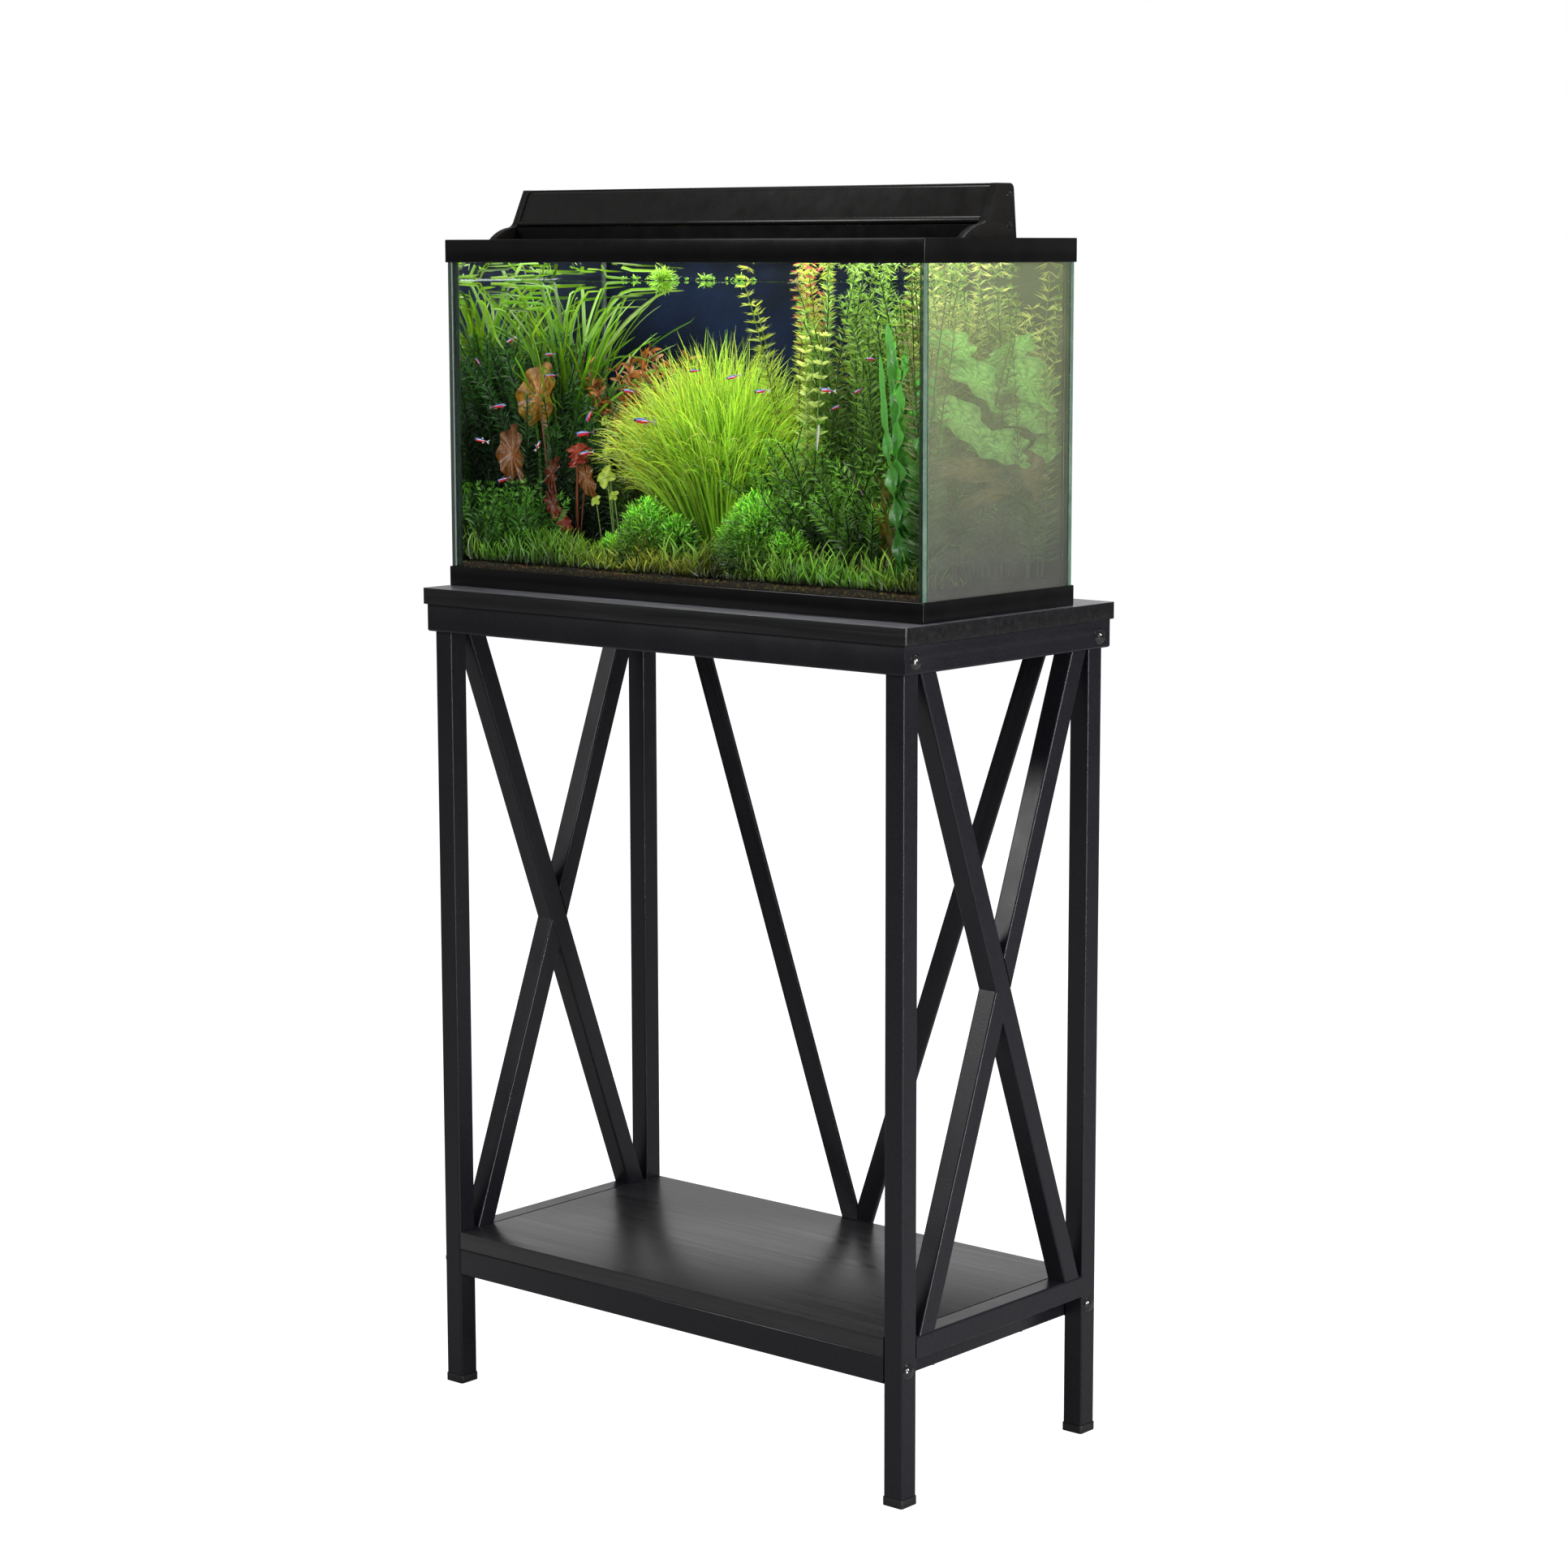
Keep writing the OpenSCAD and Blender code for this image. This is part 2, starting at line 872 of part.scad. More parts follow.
module hood_end(s) {
    x0 = s > 0 ? cover_half : -hood_half;
    bore_x = s > 0 ? cover_half - eps : -cover_half - 5;
    color(plastic)
        at_rim()
            difference() {
                along_x(x0, x0 + cap_t)
                    cap_outline();
                translate([bore_x, pivot_y, pivot_z])
                    rod_x(pin_r + 0.05, 5 + eps);
                for (z = [10, 34])
                    translate([-hood_half - eps, back_y - 5, z])
                        rod_x(1.55, 2 * hood_half + 2 * eps);
            }
}

module hood_end_left() {
    hood_end(-1);
}

module hood_end_right() {
    hood_end(1);
}

// A rectangle from y0 to y1, up to z1, with its upper back corner rounded
module rounded_top(y0, y1, z1, r) {
    translate([y0, 0])
        square([y1 - r - y0, z1]);
    translate([y0, 0])
        square([y1 - y0, z1 - r]);
    translate([y1 - r, z1 - r])
        circle(r);
}

// The fixed top and back of the lamp housing, with a rounded corner and a boss for each end screw
module hood_cover() {
    front = pivot_y + pivot_r + flap_gap;
    color(plastic)
        at_rim()
            difference() {
                union() {
                    along_x(-cover_half, cover_half)
                        difference() {
                            rounded_top(front, back_y, hood_h, crown_r);
                            translate([0, -eps])
                                rounded_top(front - eps, back_y - wall, hood_h - wall + eps, crown_r - wall);
                        }
                    for (s = [-1, 1], z = [10, 34])
                        translate([s > 0 ? cover_half - 12 : -cover_half, back_y - 7.9, z - 2.9])
                            cube([12, 5.8, 5.8]);
                }
                for (z = [10, 34])
                    translate([-cover_half - eps, back_y - 5, z]) {
                        rod_x(1.25, 12 + eps);
                        translate([2 * cover_half - 12 + eps, 0, 0])
                            rod_x(1.25, 12 + eps);
                    }
                translate([switch_x - 6.6, back_y - wall - eps, switch_z - 9.6])
                    cube([13.2, wall + 2 * eps, 19.2]);
                translate([inlet_x, back_y - wall - eps, inlet_z])
                    rotate([-90, 0, 0])
                        cylinder(r = 4.05, h = wall + 2 * eps);
            }
}

// The sloped flap, drawn hanging from its pivot: u runs down the slope and v out of the housing
module flap_outline() {
    circle(pivot_r);
    translate([-pivot_r, 0])
        rotate([0, 0, -90])
            square([flap_len - lip_r, wall]);
    translate([-pivot_r + lip_r - 1, -flap_len + lip_r])
        circle(lip_r);
    translate([-pivot_r + wall - 0.2, -flap_len + lip_r])
        square([lip_r, 1.2]);
}

module front_flap() {
    half = cover_half - flap_gap;
    color(plastic)
        at_rim()
            difference() {
                along_x(-half, half)
                    translate([pivot_y, pivot_z])
                        rotate([0, 0, slope_angle])
                            flap_outline();
                for (s = [-1, 1])
                    translate([s > 0 ? half - pin_len : -half - eps, pivot_y, pivot_z])
                        rod_x(pin_bore_r, pin_len + eps);
            }
}

module flap_pins() {
    color(zinc)
        at_rim()
            for (s = [-1, 1])
                translate([s > 0 ? cover_half - pin_len + 2 : -cover_half - 4, pivot_y, pivot_z])
                    rod_x(pin_r, pin_len + 2);
}

// The deck fills the rim, with a slot under the lamp and a skirt that stands on the rim's ledge
module hood_deck() {
    slot_w = 2 * deck_slot_x;
    slot_d = deck_slot_y[1] - deck_slot_y[0];
    ledge_gap = rim_drop - 2;
    color(plastic)
        at_rim() {
            difference() {
                translate([-deck_w / 2, -deck_d / 2, -deck_t])
                    cube([deck_w, deck_d, deck_t]);
                translate([-slot_w / 2, deck_slot_y[0], -deck_t - eps])
                    cube([slot_w, slot_d, deck_t + 2 * eps]);
            }
            frame_ring(deck_w, deck_d, deck_skirt, -ledge_gap, -deck_t);
            translate([-deck_w / 2, upstand_y, -eps])
                cube([deck_w, upstand_t, upstand_h + eps]);
        }
}

// A folded trough that holds the LED board and the lens
module led_reflector() {
    y0 = lamp_y[0];
    y1 = lamp_y[1];
    color("white")
        at_rim()
            along_x(-lamp_half, lamp_half) {
                translate([y0, lamp_top - sheet])
                    square([y1 - y0, sheet]);
                for (y = [y0, y1 - sheet])
                    translate([y, lamp_low])
                        square([sheet, lamp_top - lamp_low]);
            }
}

module led_board() {
    y_mid = (lamp_y[0] + lamp_y[1]) / 2;
    led_count = floor((2 * lamp_half - 20) / led_pitch);
    board_low = lamp_top - sheet - 1.6;
    color("#e8e8e2")
        at_rim() {
            translate([-lamp_half + 4, y_mid - 4.5, board_low])
                cube([2 * lamp_half - 8, 9, 1.6]);
            for (i = [0 : led_count])
                translate([(i - led_count / 2) * led_pitch - 1.75, y_mid - 1.75, board_low - 1])
                    cube([3.5, 3.5, 1.01]);
        }
}

module lamp_lens() {
    color([0.9, 0.95, 1, 0.4])
        at_rim()
            translate([-lamp_half + 1, lamp_y[0] + sheet, lamp_low])
                cube([2 * lamp_half - 2, lamp_y[1] - lamp_y[0] - 2 * sheet, 1.5]);
}

module led_driver() {
    color("#202124")
        at_rim()
            translate([175, -6, 0])
                difference() {
                    cube([58, 15, 13]);
                    for (i = [0 : 6])
                        translate([6 + i * 7, -eps, 12])
                            cube([2.5, 15 + 2 * eps, 1 + eps]);
                }
}

// The switch: a frame that snaps into the back of the cover, open towards +Y
module switch_body() {
    color("#0d0d0e")
        at_rim()
            translate([switch_x, back_y, switch_z])
                difference() {
                    union() {
                        translate([-switch_w / 2, 0, -switch_h / 2])
                            cube([switch_w, 1.5, switch_h]);
                        translate([-6.5, -12, -9.5])
                            cube([13, 12 + eps, 19]);
                    }
                    translate([-5.2, -7, -8])
                        cube([10.4, 7 + 1.5 + eps, 16]);
                    translate([-6.6, 0.2, 0])
                        rod_x(rocker_bore_r, 13.2);
                }
}

// The rocker turns on two stub pins; at rest its upper half is pressed in
module switch_rocker() {
    color("#1c1c1f")
        at_rim()
            translate([switch_x, back_y + 0.2, switch_z])
                rotate([rocker_tilt, 0, 0]) {
                    along_x(-4.9, 4.9)
                        polygon([[-2.2, -6.6], [-2.2, 6.6], [1.2, 7.2], [2.8, 7.0],
                            [2.2, 0], [2.8, -7.0], [1.2, -7.2]]);
                    translate([-6.3, 0, 0])
                        rod_x(rocker_pin_r, 12.6);
                }
}

// The low-voltage inlet: a flanged bush with a socket open towards +Y
module power_inlet() {
    color("#0d0d0e")
        at_rim()
            translate([inlet_x, back_y, inlet_z])
                rotate([-90, 0, 0])
                    difference() {
                        union() {
                            cylinder(r = 5.6, h = 1.5);
                            translate([0, 0, -10])
                                cylinder(r = 4, h = 10 + eps);
                        }
                        translate([0, 0, -8.5])
                            cylinder(r = inlet_bore_r, h = 10 + eps);
                    }
}

module hood_screws() {
    color(zinc)
        at_rim()
            for (s = [-1, 1], z = [10, 34])
                translate([s * hood_half, back_y - 5, z])
                    rotate([0, -s * 90, 0])
                        pan_screw(1.2, cap_t + 8, 2.6, 1.4);
}

top_board();
apron_front();
apron_back();
apron_left();
apron_right();
leg_front_left();
leg_front_right();
leg_back_left();
leg_back_right();
upper_rail_left();
upper_rail_right();
lower_rail_left();
lower_rail_right();
brace_left_through();
brace_left_upper();
brace_left_lower();
brace_right_through();
brace_right_upper();
brace_right_lower();
back_strap_left();
back_strap_right();
shelf_board();
shelf_rail_front();
shelf_rail_back();
shelf_rail_left();
shelf_rail_right();
foot_caps();
top_bolts();
shelf_bolts();
frame_nuts();
wood_screws();
strap_screws();
tank_base_frame();
tank_top_rim();
glass_front();
glass_back();
glass_left();
glass_right();
glass_bottom();
silicone_seams();
background_sheet();
soil_bed();
plants_left();
plants_center();
plants_right();
plants_front();
hood_deck();
hood_cover();
hood_end_left();
hood_end_right();
front_flap();
flap_pins();
led_reflector();
led_board();
lamp_lens();
led_driver();
switch_body();
switch_rocker();
power_inlet();
hood_screws();
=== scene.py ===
import json
import math
import bmesh
import bpy
import numpy as np
from mathutils import Matrix, Vector


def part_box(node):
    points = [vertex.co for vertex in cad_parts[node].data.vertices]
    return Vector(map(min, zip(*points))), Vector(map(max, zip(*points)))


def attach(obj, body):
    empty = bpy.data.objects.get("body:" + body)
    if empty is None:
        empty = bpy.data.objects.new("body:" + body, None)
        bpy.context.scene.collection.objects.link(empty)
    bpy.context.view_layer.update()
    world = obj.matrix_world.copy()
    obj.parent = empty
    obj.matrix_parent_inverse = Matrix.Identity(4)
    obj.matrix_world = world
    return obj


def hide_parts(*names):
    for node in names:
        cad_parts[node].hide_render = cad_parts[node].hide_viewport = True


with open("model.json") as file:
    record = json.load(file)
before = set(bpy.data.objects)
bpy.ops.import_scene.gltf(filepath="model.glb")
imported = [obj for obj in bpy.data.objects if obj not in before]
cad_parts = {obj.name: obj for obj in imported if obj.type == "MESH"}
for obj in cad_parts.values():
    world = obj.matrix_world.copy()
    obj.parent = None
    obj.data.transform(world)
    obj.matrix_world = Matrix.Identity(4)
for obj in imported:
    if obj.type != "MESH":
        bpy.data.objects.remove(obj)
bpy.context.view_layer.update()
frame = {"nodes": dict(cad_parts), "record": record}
rng = np.random.default_rng(20)


# ---------- materials
class Shader:
    """A node material, built a node at a time. Texture coordinates are the object's own, in metres."""

    def __init__(self, name):
        self.mat = bpy.data.materials.new(name)
        self.mat.use_nodes = True
        self.tree = self.mat.node_tree
        self.tree.nodes.clear()
        self.out = self.add("OutputMaterial")
        self.coord = self.add("TexCoord").outputs["Object"]

    def add(self, kind, inputs=None, **props):
        n = self.tree.nodes.new("ShaderNode" + kind)
        for k, v in props.items():
            setattr(n, k, v)
        for k, v in (inputs or {}).items():
            self.put(n.inputs[k], v)
        return n

    def put(self, socket, v):
        if isinstance(v, bpy.types.NodeSocket):
            self.tree.links.new(v, socket)
        else:
            socket.default_value = v

    def stretch(self, x, y, z):
        return self.add("Mapping", {"Vector": self.coord, "Scale": (x, y, z)}).outputs[0]

    def noise(self, scale, detail=3.0, rough=0.5, vector=None, distortion=0.0):
        return self.add("TexNoise", {
            "Vector": vector or self.coord, "Scale": scale, "Detail": detail,
            "Roughness": rough, "Distortion": distortion}).outputs["Fac"]

    def span(self, fac, low, high, lo=0.0, hi=1.0):
        return self.add("MapRange", {"Value": fac, "From Min": low, "From Max": high, "To Min": lo,
            "To Max": hi}).outputs[0]

    def ramp(self, fac, *stops):
        r = self.add("ValToRGB", {"Fac": fac})
        e = r.color_ramp.elements
        while len(e) < len(stops):
            e.new(0.5)
        for el, (at, col) in zip(e, stops):
            el.position = at
            el.color = (*col, 1)
        return r.outputs["Color"]

    def mix(self, fac, a, b, kind="MIX"):
        n = self.add("Mix", data_type="RGBA", blend_type=kind)
        self.put(n.inputs[0], fac)
        self.put(n.inputs[6], a if isinstance(a, bpy.types.NodeSocket) else (*a, 1))
        self.put(n.inputs[7], b if isinstance(b, bpy.types.NodeSocket) else (*b, 1))
        return n.outputs[2]

    def math(self, op, a, b=0.0):
        n = self.add("Math", operation=op)
        self.put(n.inputs[0], a)
        self.put(n.inputs[1], b)
        return n.outputs[0]

    def bump(self, height, strength, distance, normal=None):
        ins = {"Height": height, "Strength": strength, "Distance": distance}
        if normal:
            ins["Normal"] = normal
        return self.add("Bump", ins).outputs[0]

    def axis(self, i):
        return self.add("SeparateXYZ", {"Vector": self.coord}).outputs[i]

    def facing(self, normal=None):
        inputs = {"Blend": 0.5}
        if normal:
            inputs["Normal"] = normal
        return self.add("LayerWeight", inputs).outputs["Facing"]

    def mirror_share(self, head_on, edge_on, normal=None):
        """How much a clear surface mirrors: little head on, a lot at a grazing angle, from both sides."""
        facing = self.facing(normal)
        return self.math("ADD", self.math("MULTIPLY", self.math("POWER", facing, 5.0), edge_on), head_on)

    def principled(self, **inputs):
        names = {k.replace("_", " "): v for k, v in inputs.items()}
        for k in ("Base Color", "Emission Color", "Specular Tint", "Coat Tint"):
            if k in names and not isinstance(names[k], bpy.types.NodeSocket):
                names[k] = (*names[k], 1)
        return self.add("BsdfPrincipled", names).outputs[0]

    def see_through(self, low, high, fac):
        return self.add("BsdfTransparent", {"Color": self.mix(fac, low, high)}).outputs[0]

    def glossy(self, rough, colour=(1, 1, 1, 1), **more):
        return self.add("BsdfGlossy", {"Color": colour, "Roughness": rough, **more}).outputs[0]

    def blend(self, share, a, b):
        """Surface a, with a share of surface b."""
        return self.add("MixShader", {0: share, 1: a, 2: b}).outputs[0]

    def between(self, fac, lo, hi):
        """A value from lo to hi over the middle of a noise's range."""
        return self.span(fac, 0.3, 0.7, lo, hi)

    def end(self, surface):
        self.put(self.out.inputs["Surface"], surface)
        return self.mat


def scaled(by, *colour):
    return tuple(c * by for c in colour)


def powder_steel():
    s = Shader("powder_steel")
    fine = s.noise(520, 3, 0.6)
    broad = s.noise(22, 3, 0.5)
    col = s.ramp(fine, (0.3, (0.0060, 0.0058, 0.0084)), (0.7, (0.0122, 0.0118, 0.0165)))
    return s.end(s.principled(Base_Color=col, Roughness=s.between(broad, 0.25, 0.34), Specular_IOR_Level=0.4,
        Normal=s.bump(fine, 0.16, 0.0003)))


def black_board(name, scale, light, spec=0.3):
    s = Shader(name)
    grain = s.noise(1.0, 5, 0.62, s.stretch(7 * scale, 190 * scale, 190 * scale), 0.6)
    pores = s.noise(1.0, 2, 0.5, s.stretch(40 * scale, 900, 900))
    col = s.ramp(grain, (0.25, scaled(light, 0.0075, 0.0075, 0.0085)),
        (0.55, scaled(light, 0.016, 0.016, 0.018)), (0.8, scaled(light, 0.034, 0.034, 0.038)))
    tall = s.math("ADD", grain, s.math("MULTIPLY", pores, 0.5))
    return s.end(s.principled(Base_Color=col, Roughness=s.between(grain, 0.26, 0.38), Specular_IOR_Level=spec,
        Normal=s.bump(tall, 0.18, 0.0005)))


def gloss_plastic(name, dark, light, rough, fine=900, strength=0.03, broad=26, spec=0.5):
    s = Shader(name)
    wave = s.noise(broad, 2, 0.4)
    grain = s.noise(fine, 2, 0.5)
    col = s.mix(s.span(wave, 0.3, 0.7), dark, light)
    normal = s.bump(grain, strength, 0.0003, s.bump(wave, 0.05, 0.004))
    matt = s.between(s.noise(60, 4, 0.6), rough * 0.85, rough * 1.2)
    return s.end(s.principled(Base_Color=col, Roughness=matt, Specular_IOR_Level=spec, Normal=normal))


def metal(name, col, rough):
    s = Shader(name)
    n = s.noise(400, 3, 0.6)
    return s.end(s.principled(Base_Color=s.mix(n, scaled(0.75, *col), col), Metallic=1.0,
        Roughness=s.between(n, rough, rough + 0.12), Normal=s.bump(n, 0.08, 0.0002)))


def pane(name, tint, haze=None, inner_mirror=False):
    """A clear pane: it lets light straight through and mirrors at low angles.

    haze is a film on it, as (share low, share high, colour low, colour high).
    inner_mirror: seen through water at a slant, its inner face mirrors the tank.
    """
    s = Shader(name)
    smear = s.noise(16, 3, 0.6)
    clear = s.see_through(tint, tuple(min(1, c * 1.03) for c in tint), smear)
    gloss = s.glossy(s.between(smear, 0.01, 0.03))
    share = s.mirror_share(0.004, 0.7)
    if inner_mirror:
        facing = s.facing()
        front = s.math("SUBTRACT", 1.0, s.add("NewGeometry").outputs["Backfacing"])
        share = s.math("MAXIMUM", share, s.math("MULTIPLY", s.span(facing, 0.15, 0.23, 0.0, 1.0), front))
    m = s.blend(share, clear, gloss)
    if haze:
        z0, z1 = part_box("glass_right")[0].z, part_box("glass_right")[1].z
        up = s.span(s.axis(2), z0 + 0.02, z1 - 0.02)
        cloud = s.noise(1.0, 4, 0.6, s.stretch(1, 14, 30), 0.8)
        low_share, high_share, low_tone, high_tone = haze
        share = s.math("MULTIPLY", s.span(up, 0, 1, low_share, high_share), s.between(cloud, 0.8, 1.15))
        film = s.add("BsdfDiffuse", {"Color": s.mix(up, low_tone, high_tone)}).outputs[0]
        m = s.blend(share, m, film)
    return s.end(m)


def frosted(name):
    """A milky lamp cover."""
    s = Shader(name)
    n = s.noise(500, 2, 0.5)
    body = s.principled(Base_Color=s.mix(n, (0.62, 0.65, 0.66), (0.72, 0.75, 0.76)),
        Roughness=s.between(n, 0.5, 0.65), Specular_IOR_Level=0.2)
    clear = s.see_through((0.9, 0.93, 0.93), (0.95, 0.97, 0.97), n)
    return s.end(s.blend(s.between(n, 0.5, 0.6), clear, body))


def clear_seal():
    """Clear silicone: greenish, cloudy and mostly see-through."""
    s = Shader("clear_seal")
    n = s.noise(90, 3, 0.6)
    gel = s.principled(Base_Color=s.mix(n, (0.015, 0.03, 0.022), (0.05, 0.085, 0.06)),
        Roughness=s.between(n, 0.25, 0.4), Normal=s.bump(n, 0.1, 0.0005))
    clear = s.see_through((0.86, 0.95, 0.90), (0.94, 0.98, 0.96), n)
    return s.end(s.blend(s.between(n, 0.5, 0.65), clear, gel))


def glass_edge(name, deep):
    """A cut glass edge: green, and darker where it looks into the length of the pane."""
    s = Shader(name)
    n = s.noise(40, 3, 0.6)
    green = s.mix(n, scaled(deep, 0.14, 0.26, 0.19), scaled(deep, 0.30, 0.42, 0.33))
    body = s.principled(Base_Color=green, Roughness=s.between(n, 0.12, 0.3), Normal=s.bump(n, 0.1, 0.0005))
    clear = s.see_through((0.74, 0.9, 0.8), (0.84, 0.95, 0.88), n)
    return s.end(s.blend(s.between(n, 1.0 - 0.55 * deep, 1.0 - 0.4 * deep), clear, body))


def leaf(name, through=0.35, rough=0.42, bump=0.3, fine=700):
    """Living leaf: colour from the mesh, broken up by fine noise, some light coming through."""
    s = Shader(name)
    own = s.add("VertexColor", layer_name="Col").outputs["Color"]
    mott = s.noise(fine, 3, 0.6)
    broad = s.noise(55, 2, 0.5)
    shaded = s.mix(1.0, own, (0.72, 0.76, 0.62), "MULTIPLY")
    sunlit = s.mix(1.0, own, (1.18, 1.12, 1.1), "MULTIPLY")
    col = s.mix(s.span(mott, 0.25, 0.75), shaded, sunlit)
    col = s.mix(s.between(broad, 0.0, 0.35), col, s.mix(1.0, col, (0.62, 0.78, 0.5), "MULTIPLY"))
    body = s.principled(Base_Color=col, Roughness=s.between(mott, rough - 0.08, rough + 0.1),
        Specular_IOR_Level=0.6, Normal=s.bump(mott, bump, 0.0004))
    light = s.add("BsdfTranslucent", {"Color": col}).outputs[0]
    return s.end(s.blend(through, body, light))


def painted(name, rough, metallic=0.0, fine=1200, bump=0.1, spec=0.5, coat=0.0):
    """Colour from the mesh with fine noise over it."""
    s = Shader(name)
    own = s.add("VertexColor", layer_name="Col").outputs["Color"]
    n = s.noise(fine, 3, 0.6)
    col = s.mix(s.span(n, 0.2, 0.8), s.mix(1.0, own, (0.7, 0.7, 0.7), "MULTIPLY"), own)
    return s.end(s.principled(Base_Color=col, Roughness=s.between(n, rough * 0.8, rough * 1.2),
        Metallic=metallic, Specular_IOR_Level=spec, Coat_Weight=coat, Normal=s.bump(n, bump, 0.0006)))


def water_material():
    s = Shader("water")
    ripple = s.noise(1.0, 3, 0.5, s.stretch(28, 28, 1), 0.4)
    normal = s.bump(ripple, 0.35, 0.004)
    clear = s.see_through((0.93, 0.97, 0.96), (0.97, 0.99, 0.985), ripple)
    gloss = s.glossy(s.between(ripple, 0.02, 0.05), (0.9, 1, 1, 1), Normal=normal)
    return s.end(s.blend(s.mirror_share(0.01, 0.2, normal), clear, gloss))


def backdrop_film():
    s = Shader("backdrop_film")
    cloud = s.noise(1.0, 4, 0.6, s.stretch(9, 1, 12), 0.5)
    fine = s.noise(300, 2, 0.5)
    z0, z1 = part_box("background_sheet")[0].z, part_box("background_sheet")[1].z
    up = s.span(s.axis(2), z0, z1)
    col = s.mix(s.math("MULTIPLY", s.span(cloud, 0.35, 0.75), up), (0.0024, 0.0050, 0.0100),
        (0.0068, 0.0145, 0.0480))
    return s.end(s.principled(Base_Color=col, Roughness=s.between(fine, 0.45, 0.6), Specular_IOR_Level=0.08,
        Normal=s.bump(fine, 0.05, 0.0004)))


# dark and light tone, roughness, and then what gloss_plastic takes after it
PLASTICS = {
    "foot_plastic": ((0.008, 0.008, 0.009), (0.014, 0.014, 0.015), 0.5, 700, 0.12),
    "black_bolt": ((0.008, 0.008, 0.009), (0.013, 0.013, 0.014), 0.13, 900, 0.05, 26, 0.9),
    "frame_plastic": ((0.0025, 0.0025, 0.0028), (0.0045, 0.0045, 0.005), 0.2, 1100, 0.05, 34, 0.32),
    "hood_plastic": ((0.0045, 0.0038, 0.0034), (0.0075, 0.0064, 0.0058), 0.27, 1300, 0.04, 18, 0.45),
    # deck_plastic: matt near-black, used as painted shade inside the hood
    "deck_plastic": ((0.0012, 0.0012, 0.0013), (0.0022, 0.0022, 0.0023), 0.6, 900, 0.1, 20, 0.08),
    "white_paint": ((0.72, 0.72, 0.70), (0.80, 0.80, 0.78), 0.4, 800, 0.05),
    "led_white": ((0.70, 0.72, 0.70), (0.84, 0.86, 0.84), 0.3, 500, 0.06),
    "driver_plastic": ((0.03, 0.03, 0.032), (0.05, 0.05, 0.052), 0.45, 900, 0.12),
    "switch_plastic": ((0.008, 0.008, 0.008), (0.014, 0.014, 0.014), 0.3, 900, 0.06),
}
MATS = {name: gloss_plastic(name, *finish) for name, finish in PLASTICS.items()}
MATS.update({"powder_steel": powder_steel(), "board": black_board("board_grain", 1.0, 0.5, 0.45),
    "zinc": metal("zinc", (0.62, 0.63, 0.66), 0.28), "silicone": clear_seal(),
    "dark_film": backdrop_film(), "lens_clear": frosted("lens_clear")})
CLEAR = pane("pane_clear", (0.965, 0.99, 0.98))
LEFT = pane("pane_left", (0.965, 0.99, 0.98), inner_mirror=True)
HAZED = pane("pane_hazed", (0.95, 0.985, 0.96), (0.36, 0.20, (0.155, 0.155, 0.145), (0.40, 0.44, 0.24)))
EDGE = glass_edge("glass_edge", 1.0)
EDGE_DEEP = glass_edge("glass_edge_deep", 0.1)


# ---------- pieces made from the frame
NODE_SLOT = {row["node"]: row["material_slot"] for row in frame["record"]["subparts"]}


def placed(name, data):
    """A new object in the scene."""
    o = bpy.data.objects.new(name, data)
    bpy.context.scene.collection.objects.link(o)
    return o


def finish_piece(o, body, mats, slot=None, nodes=()):
    for m in mats:
        o.data.materials.append(m)
    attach(o, body)
    if nodes:
        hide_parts(*nodes)
    return o


def body_of_node(node):
    for b, names in frame["record"]["behaviour"]["bodies"].items():
        if node in names:
            return b
    return None


def eased(node, slot, width, segments=2, mats=None, pick=None, angle=28):
    """A copy of a CAD node with its sharp edges rounded, as moulded, pressed and cut parts have."""
    src = frame["nodes"][node]
    bm = bmesh.new()
    bm.from_mesh(src.data)
    bmesh.ops.remove_doubles(bm, verts=bm.verts, dist=2e-6)
    bmesh.ops.dissolve_limit(bm, angle_limit=math.radians(0.6), verts=bm.verts, edges=bm.edges)
    edges = [e for e in bm.edges if len(e.link_faces) == 2 and e.calc_face_angle(0) > math.radians(angle)]
    if width and edges:
        bmesh.ops.bevel(bm, geom=edges, offset=width, offset_type="OFFSET", segments=segments, profile=0.5,
                    affect="EDGES", clamp_overlap=True)
    bmesh.ops.triangulate(bm, faces=[f for f in bm.faces if len(f.verts) > 4])
    for f in bm.faces:
        f.smooth = True
    if pick:
        for f in bm.faces:
            f.material_index = pick(f)
    mesh = bpy.data.meshes.new(node + "_eased")
    bm.to_mesh(mesh)
    bm.free()
    mesh.set_sharp_from_angle(angle=math.radians(40))
    o = placed(node + "_eased", mesh)
    return finish_piece(o, body_of_node(node), mats or [MATS[slot]], slot, [node])


def glass_pane(name, slot):
    """A pane with green cut edges. Edges that look into the length of a pane are dark."""
    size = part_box(name)[1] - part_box(name)[0]
    thin = min(range(3), key=lambda i: size[i])

    def pick(face):
        if name == "glass_front" and face.normal.x < -0.9:
            return 3
        if abs(face.normal[thin]) < 0.9:
            return 1
        return 2 if name == "glass_left" and face.normal.x < 0 else 0

    faces = {"glass_right": HAZED, "glass_left": LEFT}.get(name, CLEAR)
    edges = EDGE_DEEP if name == "glass_left" else EDGE
    eased(name, slot, 0.0004, 1, [faces, edges, CLEAR, EDGE_DEEP], pick)


